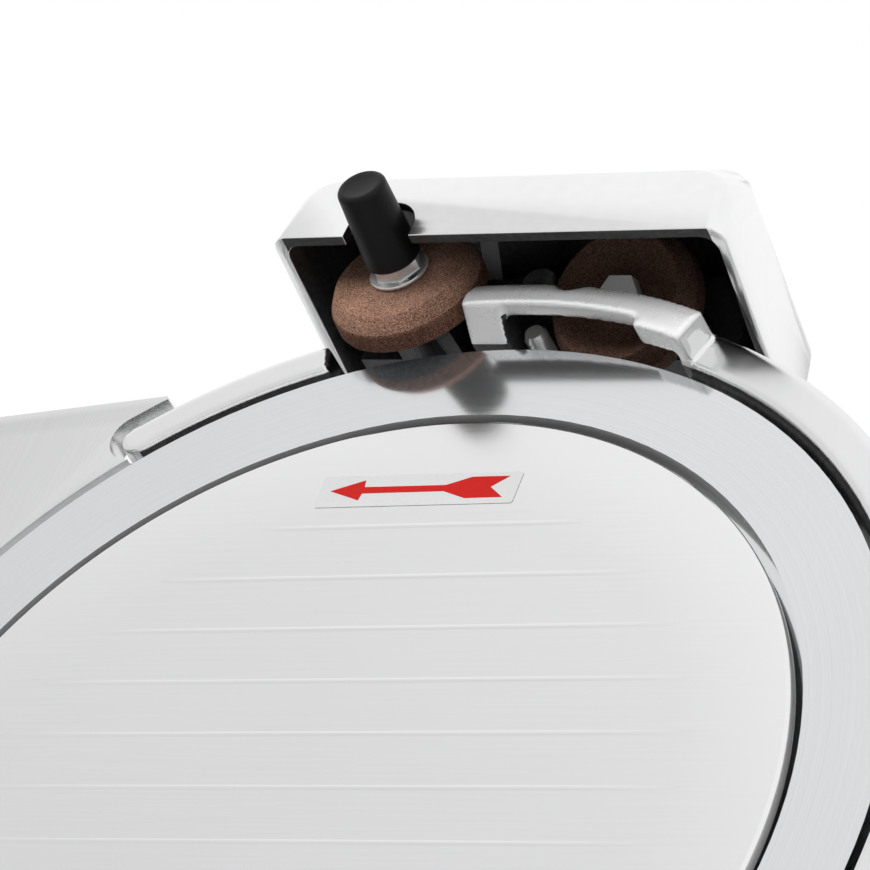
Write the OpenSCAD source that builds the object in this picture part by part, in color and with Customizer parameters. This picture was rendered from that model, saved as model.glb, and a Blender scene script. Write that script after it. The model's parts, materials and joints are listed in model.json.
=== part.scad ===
// Electric gravity-feed food slicer with a round blade, a carriage and a built-in sharpener.
// Millimetres, Z up, the operator stands on the -X side and the food side faces -Y.
// Blade frame: u along X, v up the slope of the blade, n out of its food face.

/* [Blade] */
// tilt of the blade from the vertical, degrees
tilt = 42; // [40:0.5:44]
// radius of the cutting edge
blade_r = 150; // [146:0.5:154]
// thickness of the blade rim
blade_t = 4.2; // [3.4:0.1:4.6]
// width of the ground bevel on the back
bevel_w = 10.5; // [9:0.5:12]
// width of the polished band between edge and blade cover
band_w = 21.8; // [20:0.2:26]
// gap between the blade and its cover
cover_gap = 2.7; // [2:0.1:3.5]
// turn of the blade cover about its own axis, degrees
cover_turn = 2.8; // [0:0.1:5]
// pitch of the ribs across the blade cover
rib_pitch = 16.5; // [14:0.5:18]

/* [Stand] */
// length of the base along X
base_len = 470; // [450:5:500]
// width of the base along Y
base_wid = 340; // [332:2:360]
// height of the base casting
base_h = 78; // [76:1:82]
// wall of the base casting
base_wall = 4; // [3:0.5:5]
// corner radius of the base
base_round = 26; // [20:1:30]
// height of the rubber feet
foot_h = 14; // [12:1:18]
// height of the blade centre above the table
blade_z = 255; // [252:1:262]
// blade centre behind the middle of the base
blade_x = 40; // [36:1:44]
// depth of the head casting behind the blade
head_depth = 124; // [120:1:130]
// wall of the head casting
head_wall = 6; // [5:0.5:7]

/* [Guard ring] */
// gap between the blade edge and the ring
ring_gap = 2.8; // [2.5:0.1:3.4]
// radial width of the ring
ring_w = 11.2; // [10:0.2:12]
// ring face in front of the blade face
ring_front = 1.5; // [1:0.1:2]
// front of the bridge in front of the blade face
arch_front = 11; // [10.4:0.2:12]
// thickness of the bridge
arch_t = 5; // [4:0.2:5.2]

/* [Gauge plate] */
// thickness of the gauge plate
gauge_t = 8; // [7:0.5:9]
// thickest slice
slice_max = 15; // [12:1:15]
// turn of the thickness knob for the thickest slice, degrees
dial_turn = 320; // [280:5:330]
// side of the square gauge bar
bar_side = 26; // [22:1:28]
// radius of the thickness knob
dial_r = 32; // [28:1:34]

/* [Carriage] */
// length of the food table along X
table_len = 240; // [220:5:250]
// depth of the food table away from the blade
table_depth = 207; // [200:1:215]
// thickness of the table plate
table_t = 4; // [3:0.5:5]
// radius of the carriage rail
rail_r = 10; // [9:0.5:11]

/* [Sharpener] */
// radius of both stones
stone_r = 20.7; // [20:0.1:21.2]
// thickness of both stones
stone_t = 9.6; // [9:0.1:10.2]
// lean of the front stone, degrees
front_lean = 7.4; // [6:0.2:8]
// lean of the rear stone, degrees
rear_lean = 22; // [20:0.5:23]
// wall of the sharpener hood
hood_wall = 3; // [2.5:0.1:3.4]
// travel of the front stone
front_press = 2.6; // [2:0.1:2.8]
// travel of the rear stone
rear_press = 1.5; // [1:0.1:1.6]
// lift of the sharpener on its post
lift = 24; // [18:1:25]

/* [Drive] */
// radius of the blade pulley
big_pulley_r = 44; // [40:1:46]
// radius of the motor pulley
small_pulley_r = 16; // [14:1:18]
// radius of the motor case
motor_r = 45; // [42:1:47]
// width of the belt
belt_w = 14; // [12:1:15]

/* [Fits] */
// radial gap of a running fit
run_fit = 0.05; // [0.03:0.01:0.08]
// radial gap of a fixed fit
seat_fit = 0.02; // [0.01:0.01:0.03]
// gap beside a sliding or turning piece
slide_gap = 0.4; // [0.35:0.01:0.6]

/* [Hidden] */
$fn = 64;
big = 700;
blade_y = 10;
base_y = -5;
base_top = foot_h + base_h;
front_x = -base_len / 2;
shift_x = 31;
shift_y = 12.5;
sheet = 2;
// blade and hub
cover_r = blade_r - band_w - cover_gap;
dish_n = -6;
disc_back = -10;
hub_back = -14;
hub_r = 42;
shaft_r = 12.5;
rod_r = 4.5;
spigot_r = 28;
cover_face = 1;
cover_back = -3;
screw_ring_r = 35;
// head and drive, along n from the blade face backwards
head_front = -16;
head_back = head_front - head_depth;
head_r = 60;
head_u0 = -60;
head_u1 = 100;
lid_t = 6;
bearing_r = 23.5;
bearing_w = 12;
housing_r = 30;
carrier_t = 10;
carrier_front = -14;
belt_n = head_back + 10;
motor_u = 28;
motor_v = -96;
motor_n0 = belt_n - 4 + belt_w + 14;
motor_n1 = carrier_front - carrier_t;
motor_shaft_r = 7;
belt_t = 3;
// ring
ring_r0 = blade_r + ring_gap;
ring_r1 = ring_r0 + ring_w;
lip_r = blade_r + 1.2;
arch_r0 = blade_r + 6;
arch_r1 = ring_r1 - 1;
right_end = 70;
right_post = 71.6;
arch_back = arch_front - arch_t;
leg_u0 = -15.8;
leg_u1 = -4.5;
left_start = 111;
tip_turn = 131.1;
left_r0 = blade_r + 1.9;
left_r1 = blade_r + 11.1;
tip_half = (left_r1 - left_r0) / 2 - 0.3;
tip_len = 4.6;
// sharpener
front_u = -37.3;
front_v = blade_r + 14.4;
front_n = front_press;
rear_u = 23.5;
rear_v = blade_r + 14.8;
rear_n = rear_press + 2.5;
spindle_r = 5;
collar_r = 8;
nut_t = 3.6;
post_u = -7;
post_n = -30;
post_r = 7;
post_v0 = 95;
hood_u0 = -68.5;
hood_u1 = 63.6;
hood_n0 = -42;
hood_n1 = 28;
rim_v = blade_r + 13.2;
rim_fall = 5.1;
hood_v0 = blade_r - 20;
hood_top_front = blade_r + 34.7;
hood_top = blade_r + 48.2;
hood_lean = 11;
hood_turn = 0.8;
hood_edge = 4;
hood_drop = 5;
hood_close = 6;
bracket_n0 = -25;
bracket_n1 = -15;
bracket_v0 = blade_r + 10;
post_v1 = bracket_v0 + lift + 2;
bracket_v1 = blade_r + 38;
cap_r = 7.4;
clamp_v = blade_r + 26;
// gauge
gauge_face = 0.4;
gauge_back = gauge_face - gauge_t;
gauge_arc = blade_r + 2.2;
gauge_u0 = -285;
gauge_v0 = -150;
bar_u = -211;
bar_v = -131.5;
bar_n0 = -112;
roller_r = 7;
roller_n = bar_n0 - roller_r - 1;
cam_r = 28;
cam_w = 10;
cam_gap = 0.8;
cam_n = roller_n - roller_r - cam_gap - cam_r;
cam_y = blade_y + bar_v * sin(tilt) - cam_n * cos(tilt);
cam_z = blade_z + bar_v * cos(tilt) + cam_n * sin(tilt);
dial_shaft_r = 6;
dial_depth = 24;
// carriage
rail_y = -140;
rail_z = 58;
table_v = -95;
table_n0 = 8;
table_n1 = table_n0 + table_depth;
table_u0 = -300;
table_u1 = table_u0 + table_len;
fence_top = -30;
arm_x = front_x + 95;
stroke = base_len - 210;
arm_w = 36;
arm_t = 16;
slider_l = 64;
slider_w = 32;
slider_z0 = 40;
slider_z1 = 76;
push_u = -280;
push_v = -45;
push_r = 7;
lug_l = 10;
sleeve_r = 11;
sleeve_l = 40;
sleeve_n0 = table_n1 - lug_l - 15 - sleeve_l;
pusher_travel = sleeve_n0 - table_n0 - lug_l - 4;
flange_t = 2;
plate_n = sleeve_n0;
guard_t = 4;
// switch
button_r = 9;
on_y = -90;
off_y = -60;
panel_z = 54;
button_travel = 3;

module frame() translate([shift_x, shift_y, 0]) children();
module at_blade() frame() translate([blade_x, blade_y, blade_z]) rotate([90 - tilt, 0, 0]) children();
module along_u(u0, u1) translate([u0, 0, 0]) rotate([90, 0, 90]) linear_extrude(u1 - u0) children();
module rod_u(u0, u1, r) translate([u0, 0, 0]) rotate([0, 90, 0]) cylinder(h = u1 - u0, r = r);
module rod_v(v0, v1, r) translate([0, v0, 0]) rotate([-90, 0, 0]) cylinder(h = v1 - v0, r = r);
module rod_n(n0, n1, r) translate([0, 0, n0]) cylinder(h = n1 - n0, r = r);
module box(a, b) translate(a) cube(b - a);
module sector(r0, r1, a0, a1, n0, n1)
    rotate([0, 0, a0]) rotate_extrude(angle = a1 - a0) translate([r0, n0]) square([r1 - r0, n1 - n0]);
module rrect(w, h, r) {
    square([w - 2 * r, h], center = true);
    square([w, h - 2 * r], center = true);
    for (i = [-1, 1], j = [-1, 1]) translate([i * (w / 2 - r), j * (h / 2 - r)]) circle(r);
}
module above_base(gap) difference() {
    children();
    translate([-big, -big, base_top + gap - 2 * big]) cube(2 * big);
}
// A box with round corners and a rounded top edge.
module soft_box(w, d, h, rc, re) hull() {
    $fn = 48;
    linear_extrude(1) rrect(w, d, rc);
    for (a = [0:15:90]) translate([0, 0, h - re - 1 + re * sin(a)]) linear_extrude(1)
        rrect(w - 2 * re * (1 - cos(a)), d - 2 * re * (1 - cos(a)), rc - re * (1 - cos(a)));
}
module front_axis() translate([front_u, front_v, front_n]) rotate([-front_lean, 0, 0]) children();
module rear_axis() translate([rear_u, rear_v, rear_n]) rotate([rear_lean, 0, 0]) children();
module foot_places() for (i = [-1, 1], j = [-1, 1])
    translate([i * (base_len / 2 - 42), base_y + j * (base_wid / 2 - 42), 0]) children();

// Stand
module base_housing() color("Silver") frame() difference() {
    union() {
        difference() {
            translate([0, base_y, foot_h]) soft_box(base_len, base_wid, base_h, base_round, 10);
            translate([0, base_y, foot_h - 1]) linear_extrude(base_h + 1 - base_wall)
                rrect(base_len - 2 * base_wall, base_wid - 2 * base_wall, base_round - base_wall);
        }
        foot_places() translate([0, 0, foot_h + sheet]) cylinder(h = base_h - sheet - base_wall / 2, r = 11);
        for (x = [front_x + base_wall / 2, base_len / 2 - base_wall / 2 - 16])
            translate([x, rail_y, rail_z]) rod_u(0, 16, rail_r + 6);
        translate([front_x + base_wall / 2, cam_y, cam_z]) rod_u(0, 22, dial_shaft_r + 7);
    }
    translate([0, rail_y, rail_z]) rod_u(front_x + base_wall, -front_x - base_wall, rail_r + seat_fit);
    translate([front_x, cam_y, cam_z]) rod_u(-1, 40, dial_shaft_r + run_fit);
    // openings in the top: drive, carriage arm, gauge bar
    box([blade_x - 48, blade_y - 108, base_top - 20], [blade_x + 88, blade_y + 36, base_top + 1]);
    box([arm_x - arm_w / 2 - 4, rail_y - arm_t / 2 - 2, base_top - 20],
        [arm_x + stroke + arm_w / 2 + 4, rail_y + arm_t / 2 + 2, base_top + 1]);
    translate([blade_x + bar_u, 0, 0]) intersection() {
        translate([0, blade_y, blade_z]) rotate([90 - tilt, 0, 0]) translate([0, bar_v, -100])
            cube([bar_side + 2, bar_side + 2, 120], center = true);
        box([-big, -big, base_top - 20], [big, big, base_top + 1]);
    }
    for (y = [on_y, off_y]) translate([front_x, y, panel_z]) rod_u(-1, base_wall + 1, button_r + slide_gap);
    translate([front_x, (on_y + off_y) / 2, panel_z + 11]) rod_u(-1, base_wall + 1, 4 + seat_fit);
    translate([-front_x, 100, 50]) rod_u(-base_wall - 1, 1, 8 + seat_fit);
    foot_places() translate([0, 0, foot_h]) cylinder(h = 30, r = 3 + seat_fit);
}
module bottom_plate() color("DimGray") frame() translate([0, base_y, foot_h]) difference() {
    linear_extrude(sheet)
        rrect(base_len - 2 * base_wall - 1, base_wid - 2 * base_wall - 1, base_round - base_wall - 0.5);
    for (i = [-4:4]) translate([i * 18 + 60, -10, -1]) linear_extrude(sheet + 2) rrect(7, 90, 3.4);
    translate([0, -base_y, -1]) foot_places() cylinder(h = sheet + 2, r = 3 + seat_fit);
}
module rubber_feet() color([0.1, 0.1, 0.1]) frame() foot_places() difference() {
    union() {
        cylinder(h = 4, r1 = 17, r2 = 19);
        translate([0, 0, 4]) cylinder(h = foot_h - 4, r1 = 19, r2 = 16);
    }
    translate([0, 0, -1]) cylinder(h = 7, r = 8);
    cylinder(h = foot_h + 1, r = 3 + seat_fit);
}
module foot_screws() color("Gray") frame() foot_places() {
    translate([0, 0, 6]) cylinder(h = 26, r = 3);
    translate([0, 0, 2.5]) cylinder(h = 3.5, r = 6);
}
module cord_gland() color([0.1, 0.1, 0.1]) frame() translate([-front_x, 100, 50]) difference() {
    union() {
        rod_u(-base_wall - 8, 0, 8);
        rod_u(0, 6, 12);
        rod_u(6, 17, 9);
    }
    rod_u(-40, 40, 4.5);
}

// Head
module head_outline(inset) {
    circle(head_r - inset);
    translate([60, 0]) circle(40 - inset);
    translate([head_u0 + inset, -320]) square([head_u1 - head_u0 - 2 * inset, 320]);
}
module ring_screw_places() for (a = [45, -12, -94])
    rotate([0, 0, a]) translate([blade_r + 8.4, 0, 0]) children();
module motor_screw_places() for (a = [45:90:315])
    translate([motor_u, motor_v, 0]) rotate([0, 0, a]) translate([motor_r - 9, 0, 0]) children();
module head_casting() color("LightGray") above_base(0) at_blade() difference() {
    union() {
        difference() {
            translate([0, 0, head_back]) linear_extrude(head_depth) head_outline(0);
            translate([0, 0, head_back - 1])
                linear_extrude(head_depth + 1 - head_wall) head_outline(head_wall);
        }
        rod_n(head_back + 36, head_front, housing_r);
        translate([post_u, 0, post_n]) rod_v(40, 132, post_r + 6);
        sector(head_r - head_wall / 2, ring_r1 - 1, -100, 70, carrier_front - carrier_t, carrier_front);
    }
    rod_n(head_back, head_front - 4, bearing_r + seat_fit);
    rod_n(head_back, 0, 18);
    translate([post_u, 0, post_n]) rod_v(post_v0, 140, post_r + seat_fit);
    ring_screw_places() rod_n(-40, 0, 2.5 + seat_fit);
    motor_screw_places() {
        rod_n(-30, 0, 2.5 + seat_fit);
        rod_n(carrier_front - 4, 0, 4.5 + seat_fit);
    }
}
module belt_cover() color("LightGray") above_base(slide_gap) at_blade() difference() {
    translate([0, 0, head_back - lid_t]) linear_extrude(lid_t) head_outline(0);
    translate([0, 0, head_back - lid_t / 2]) linear_extrude(lid_t) head_outline(10);
    rod_n(-big, 0, rod_r + 1);
    for (i = [-2:2]) translate([motor_u + i * 12, -60, head_back - lid_t - 1])
        linear_extrude(lid_t + 2) rrect(5, 34, 2.4);
}
module case_screws() color("Gray") at_blade() {
    ring_screw_places() {
        rod_n(-24, -7, 2.5);
        rod_n(-28, -24, 4.5);
    }
    motor_screw_places() {
        rod_n(motor_n1 - 6, carrier_front - 4, 2.5);
        rod_n(carrier_front - 4, carrier_front - 0.5, 4.5);
    }
}
module slice_deflector() color("Gainsboro") at_blade() translate([0, -82, 0]) rotate([-90, 0, 0])
    linear_extrude(92)
        polygon([[head_u0, 62], [head_u0, 58], [-108, 20], [-118, 14.5], [-119.5, 16.5], [-109, 24]]);
module sharpener_post() color("Gainsboro") at_blade() translate([post_u, 0, post_n]) {
    rod_v(post_v0, post_v1 - 2, post_r);
    translate([0, post_v1 - 2, 0]) rotate([-90, 0, 0]) cylinder(h = 2, r1 = post_r, r2 = post_r - 1.5);
}

// Guard ring with the bridge over the rear stone
module ring_profile(r0, r1) polygon([[r0, carrier_front], [r1, carrier_front], [r1, ring_front - 0.8],
    [r1 - 0.8, ring_front], [r0 + 0.6, ring_front], [r0, ring_front - 0.6]]);
module tip_outline() polygon([[-tip_half, -1], [tip_half, -1],
    for (a = [15:15:165]) [tip_half * cos(a), tip_len * sin(a)]]);
module ring_guard() color("WhiteSmoke") at_blade() difference() {
    union() {
        rotate([0, 0, -120]) rotate_extrude(angle = 120 + right_post) ring_profile(ring_r0, ring_r1);
        sector(lip_r, ring_r0 + 0.5, -120, right_end, carrier_front, -1);
        rotate([0, 0, left_start]) rotate_extrude(angle = tip_turn - left_start)
            ring_profile(left_r0, left_r1);
        rotate([0, 0, tip_turn]) translate([(left_r0 + left_r1) / 2, 0, carrier_front])
            linear_extrude(ring_front - carrier_front) tip_outline();
        sector(lip_r, blade_r + 8, 94.2, left_start + 1, carrier_front + 0.5, -8);
        // bridge with its two legs
        sector(arch_r0, arch_r1, right_end, 95.4, arch_back, arch_front);
        sector(ring_r0 + 0.2, arch_r1, right_end, right_post - 0.2, carrier_front + 1, arch_front);
        sector(ring_r0 + 0.4, arch_r1, right_end, 76, arch_back - 2.4, arch_front);
        along_u(leg_u0, leg_u1) polygon([[arch_r0, arch_front], [arch_r1 - 0.6, arch_front],
            [arch_r1 - 0.6, 0], [blade_r + 8, -8], [blade_r + 8, carrier_front],
            [lip_r + 0.2, carrier_front], [lip_r + 0.2, 0]]);
    }
    // finger dip in the top of the bridge
    rotate([0, 0, 85.6]) translate([arch_r1 + 6.4, 0, 0]) rod_n(0, 40, 8);
    ring_screw_places() rod_n(-40, -6, 2.5 + seat_fit);
}

// Blade and drive
module blade_screw_places() for (a = [45:90:315])
    rotate([0, 0, a]) translate([screw_ring_r, 0, 0]) children();
module knife_blade() color("White") at_blade() difference() {
    rotate_extrude() polygon([[blade_r, 0], [blade_r - band_w, 0], [blade_r - band_w, dish_n],
        [spigot_r, dish_n], [spigot_r, disc_back], [blade_r - 18.5, disc_back], [blade_r - 16, -blade_t],
        [blade_r - bevel_w, -blade_t], [blade_r, -0.25]]);
    blade_screw_places() {
        rod_n(-20, 0, 3 + seat_fit);
        translate([0, 0, dish_n - 2.5]) cylinder(h = 2.5 + 0.01, r1 = 3 + seat_fit, r2 = 5.5 + seat_fit);
    }
}
module blade_screws() color("Gray") at_blade() blade_screw_places() {
    rod_n(hub_back, dish_n - 2.5, 3);
    translate([0, 0, dish_n - 2.5]) cylinder(h = 2.5, r1 = 3, r2 = 5.5);
}
module blade_hub() color("DarkGray") at_blade() difference() {
    union() {
        rod_n(hub_back, disc_back, hub_r);
        rod_n(disc_back, disc_back + 3, spigot_r - seat_fit);
        rod_n(belt_n - 4, disc_back, shaft_r);
    }
    rod_n(-big, 0, rod_r + 1);
    blade_screw_places() rod_n(-20, 0, 3 + seat_fit);
}
module grooved(r, w) polygon(concat([[0, 0], [r, 0]],
    [for (i = [0:2], e = [[0, 0.14], [1.6, 0.24], [0, 0.34]]) [r - e[0], w * (e[1] + i * 0.26)]],
    [[r, w], [0, w]]));
module pulley(r, bore) difference() {
    union() {
        translate([0, 0, belt_n]) rotate_extrude() grooved(r, belt_w);
        rod_n(belt_n - 3, belt_n, bore + 7);
    }
    rod_n(-big, 0, bore + seat_fit);
}
module driven_pulley() color("DimGray") at_blade() difference() {
    pulley(big_pulley_r, shaft_r);
    for (a = [0:60:300]) rotate([0, 0, a])
        translate([(big_pulley_r + shaft_r) / 2 + 1, 0, 0]) rod_n(-big, 0, 6.5);
}
module blade_bearings() color("Gainsboro") at_blade()
    for (n = [head_front - 4 - bearing_w, head_back + 36]) difference() {
        rod_n(n, n + bearing_w, bearing_r);
        rod_n(n - 1, n + bearing_w + 1, shaft_r + run_fit);
        rotate_extrude() translate([(shaft_r + bearing_r) / 2, n + bearing_w]) circle(3);
    }
module blade_cover() color("WhiteSmoke") at_blade() rotate([0, 0, cover_turn]) difference() {
    union() {
        rotate_extrude() polygon([[0, cover_back], [cover_r, cover_back], [cover_r, cover_face - 1],
            [cover_r - 1, cover_face], [0, cover_face]]);
        rod_n(dish_n + 0.6, cover_back, 12);
        for (i = [-6:5]) translate([0, 0, cover_face]) linear_extrude(0.3) intersection() {
            circle(cover_r - 22);
            translate([-cover_r, (i + 0.5) * rib_pitch - 0.8]) square([2 * cover_r, 1.6]);
        }
    }
    rod_n(-20, -1, rod_r + seat_fit);
}
module direction_label() color("Tomato") at_blade() rotate([0, 0, cover_turn])
    translate([-5, cover_r - 23, cover_face]) linear_extrude(0.25) rrect(57.5, 10.2, 0.8);
module cover_tie_rod() color("Gainsboro") at_blade() rod_n(head_back - 34, -1, rod_r);
module cover_knob() color([0.1, 0.1, 0.1]) at_blade() difference() {
    union() {
        rod_n(head_back - lid_t - 8, head_back - lid_t - slide_gap, 10);
        rod_n(head_back - lid_t - 24, head_back - lid_t - 8, 18);
    }
    rod_n(-big, 0, rod_r + run_fit);
    for (a = [0:45:315]) rotate([0, 0, a]) translate([20.5, 0, 0])
        rod_n(head_back - 60, head_back - lid_t - 9.2, 5);
}
module at_motor() at_blade() translate([motor_u, motor_v, 0]) children();
module motor_case() color("SlateGray") at_motor() difference() {
    union() {
        rod_n(motor_n0, motor_n1, motor_r);
        for (a = [0:20:340]) rotate([0, 0, a])
            box([motor_r - 2, -1, motor_n0 + 12], [motor_r + 3, 1, -36]);
    }
    rod_n(motor_n0 + 4, -32, motor_r - 5);
    rod_n(motor_n0 - 1, 0, motor_shaft_r + run_fit);
    for (a = [45:90:315]) rotate([0, 0, a]) translate([motor_r - 9, 0, 0]) rod_n(-30, 0, 2.5 + seat_fit);
}
module motor_stator() color("Peru") at_motor() difference() {
    rod_n(-88, -40, motor_r - 5 - seat_fit);
    rod_n(-100, -30, 27);
    for (a = [0:30:330]) rotate([0, 0, a]) translate([29, 0, 0]) rod_n(-100, -30, 3.2);
}
module motor_shaft() color("DarkGray") at_motor() {
    rod_n(belt_n - 3, -24, motor_shaft_r);
    rod_n(-88, -40, 26);
}
module motor_fan() color([0.1, 0.1, 0.1]) at_motor() difference() {
    union() {
        rod_n(motor_n0 + 5, motor_n0 + 7, 32);
        for (a = [0:45:315]) rotate([0, 0, a]) box([10, -1, motor_n0 + 5], [32, 1, -91]);
        rod_n(motor_n0 + 5, -91, 12);
    }
    rod_n(-big, 0, motor_shaft_r + seat_fit);
}
module drive_pulley() color("DimGray") at_motor() pulley(small_pulley_r, motor_shaft_r);
// The belt loop: an arc round each pulley and the straight runs between them.
module belt_loop(extra) {
    span = norm([motor_u, motor_v]);
    turn = atan2(motor_v, motor_u);
    lean = acos((big_pulley_r - small_pulley_r) / span);
    steps = 24;
    polygon(concat(
        [for (i = [0:steps]) let (a = turn + lean + i * (360 - 2 * lean) / steps)
            (big_pulley_r + extra) / cos(180 / steps) * [cos(a), sin(a)]],
        [for (i = [0:steps]) let (a = turn - lean + i * 2 * lean / steps)
            [motor_u, motor_v] + (small_pulley_r + extra) / cos(180 / steps) * [cos(a), sin(a)]]));
}
module drive_belt() color([0.15, 0.15, 0.15]) at_blade() translate([0, 0, belt_n]) linear_extrude(belt_w)
    difference() {
        belt_loop(slide_gap + belt_t);
        belt_loop(slide_gap);
    }
module run_capacitor() color("LightGray") frame() translate([60, 110, foot_h + sheet + 18]) {
    rod_u(0, 70, 18);
    rod_u(70, 74, 15);
    for (y = [-6, 6]) translate([74, y, 0]) box([0, -0.5, -3], [9, 0.5, 3]);
}

// Gauge plate, its bar and the thickness knob
module gauge_outline() difference() {
    polygon([[gauge_u0, gauge_v0 + 14], [gauge_u0, 95], [gauge_u0 + 3, 102], [gauge_u0 + 10, 106.7],
        [-101, 133.4], [-60, 60], [-60, -60], [-95, -118], [-95, gauge_v0 + 8], [-103, gauge_v0],
        [gauge_u0 + 14, gauge_v0]]);
    circle(gauge_arc);
    difference() {
        circle(left_r1 + 5.1);
        rotate(tip_turn) translate([-big, 0]) square(2 * big);
    }
    rotate(tip_turn) translate([left_r0 + 6.5, 0]) circle(7.8);
}
module gauge_screw_places() for (i = [-1, 1], j = [-1, 1])
    translate([bar_u + i * 24, bar_v + j * 9 + 3, 0]) children();
module gauge_plate() color("WhiteSmoke") at_blade() difference() {
    translate([0, 0, gauge_back]) linear_extrude(gauge_t) gauge_outline();
    gauge_screw_places() rod_n(-40, gauge_back + 5, 2.5 + seat_fit);
}
module gauge_bar() color("LightGray") at_blade() difference() {
    union() {
        translate([bar_u - bar_side / 2, bar_v - bar_side / 2, bar_n0])
            cube([bar_side, bar_side, gauge_back - bar_n0]);
        translate([bar_u, bar_v + 3, gauge_back - 8]) linear_extrude(8) rrect(66, 30, 6);
        for (s = [-1, 1]) translate([bar_u + s * (bar_side / 2 - 3) - 3, bar_v - 7, roller_n - 3])
            cube([6, 14, bar_n0 - roller_n + 4]);
    }
    gauge_screw_places() rod_n(-40, 0, 2.5 + seat_fit);
    translate([bar_u, bar_v, roller_n]) rod_u(-20, 20, 2.5 + seat_fit);
}
module gauge_screws() color("Gray") at_blade() gauge_screw_places() {
    rod_n(gauge_back - 8, gauge_back + 5, 2.5);
    rod_n(gauge_back - 11, gauge_back - 8, 4.5);
}
module cam_roller() color("Gainsboro") at_blade() translate([bar_u, bar_v, roller_n]) {
    rod_u(-bar_side / 2, bar_side / 2, 2.5);
    rod_u(-cam_w / 2 - 1, cam_w / 2 + 1, roller_r);
}
module gauge_guide() color("LightGray") above_base(0) at_blade() difference() {
    translate([bar_u, bar_v, -82]) cube([bar_side + 22, bar_side + 22, 64], center = true);
    translate([bar_u, bar_v, -82])
        cube([bar_side + 2 * slide_gap, bar_side + 2 * slide_gap, 90], center = true);
}
module at_dial() frame() translate([0, cam_y, cam_z]) children();
module thickness_knob() color([0.12, 0.12, 0.12]) at_dial() translate([front_x - 3, 0, 0]) difference() {
    union() {
        rod_u(-8, 0, dial_r);
        rod_u(-dial_depth, -8, dial_r - 6);
    }
    for (a = [0:24:336]) rotate([a, 0, 0]) translate([0, 0, dial_r - 4.6])
        rod_u(-dial_depth - 1, -9.2, 2.6);
    rod_u(-12, 1, dial_shaft_r + seat_fit);
}
module knob_spindle() color("DarkGray") at_dial() {
    rod_u(front_x - 15, blade_x + bar_u + 14, dial_shaft_r);
    rod_u(blade_x + bar_u + cam_w / 2 + slide_gap, blade_x + bar_u + cam_w / 2 + 4, dial_shaft_r + 3);
}
// An Archimedean spiral: the roller drops by slice_max while the knob makes dial_turn.
function cam_at(a) = cam_r - slice_max * max(0, min(1, a / dial_turn));
module scroll_cam() color("DarkGray") at_dial()
    translate([blade_x + bar_u - cam_w / 2, 0, 0]) rotate([90 - tilt, 0, 0]) difference() {
        rotate([90, 0, 90]) linear_extrude(cam_w)
            polygon([for (a = [-8:4:dial_turn + 16]) cam_at(a) * [-sin(a), cos(a)]]);
        rod_u(-1, cam_w + 1, dial_shaft_r + seat_fit);
    }

// Carriage
module carriage_rail() color("Gainsboro") frame() translate([0, rail_y, rail_z])
    rod_u(front_x + base_wall, -front_x - base_wall, rail_r);
module carriage_slider() color("DarkGray") frame() difference() {
    box([arm_x - slider_l / 2, rail_y - slider_w / 2, slider_z0],
        [arm_x + slider_l / 2, rail_y + slider_w / 2, slider_z1]);
    translate([0, rail_y, rail_z]) rod_u(-big, big, rail_r + run_fit);
}
module carriage_arm() color("LightGray") difference() {
    frame() union() {
        box([arm_x - arm_w / 2, rail_y - arm_t / 2, slider_z1],
            [arm_x + arm_w / 2, rail_y + arm_t / 2, blade_z + 60]);
        box([arm_x - 50, rail_y - 24, base_top + 118], [arm_x + 50, rail_y + 24, blade_z + 60]);
    }
    at_blade() translate([-big, table_v - table_t, -big]) cube(2 * big);
}
module push_lugs() for (n = [table_n0, table_n1 - lug_l])
    box([table_u0 - 4, push_v - 12, n], [push_u + 10, push_v + 12, n + lug_l]);
module food_table() color("WhiteSmoke") at_blade() difference() {
    union() {
        box([table_u0, table_v - table_t, table_n0], [table_u1, table_v, table_n1]);
        box([table_u0 - 4, table_v - table_t, table_n0], [table_u0, fence_top, table_n1]);
        box([table_u0, table_v - table_t, table_n1 - 4], [table_u1, table_v + 22, table_n1]);
        for (i = [1:9]) translate([table_u0 + i * table_len / 10, table_v, 0])
            rod_n(table_n0 + 12, table_n1 - 16, 1);
        push_lugs();
    }
    translate([push_u, push_v, 0]) rod_n(table_n0 + 2, table_n1 - 2, push_r + seat_fit);
}
module pusher_rod() color("Gainsboro") at_blade() translate([push_u, push_v, 0])
    rod_n(table_n0 + 2, table_n1 - 2, push_r);
module hand_guard() color([0.8, 0.9, 0.95, 0.5]) at_blade()
    translate([table_u0 - 4 - guard_t, 0, (table_n0 + table_n1) / 2])
        rotate([90, 0, 90]) linear_extrude(guard_t) rrect(150, table_depth - 30, 16);
module carriage_handle() color([0.1, 0.1, 0.1]) at_blade() translate([table_u0 - 40, 0, 110]) {
    rod_v(-62, 48, 14);
    translate([0, 48, 0]) sphere(14);
    translate([0, -62, 0]) sphere(14);
    for (v = [-48, 34]) translate([0, v, 0]) rod_u(0, 32, 8);
}
module at_push() at_blade() translate([push_u, push_v, 0]) children();
module pusher_sleeve() color("Gainsboro") at_push() difference() {
    union() {
        rod_n(sleeve_n0, sleeve_n0 + sleeve_l, sleeve_r);
        for (n = [sleeve_n0, sleeve_n0 + sleeve_l - flange_t]) rod_n(n, n + flange_t, sleeve_r + 2);
    }
    rod_n(0, big, push_r + run_fit);
}
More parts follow.
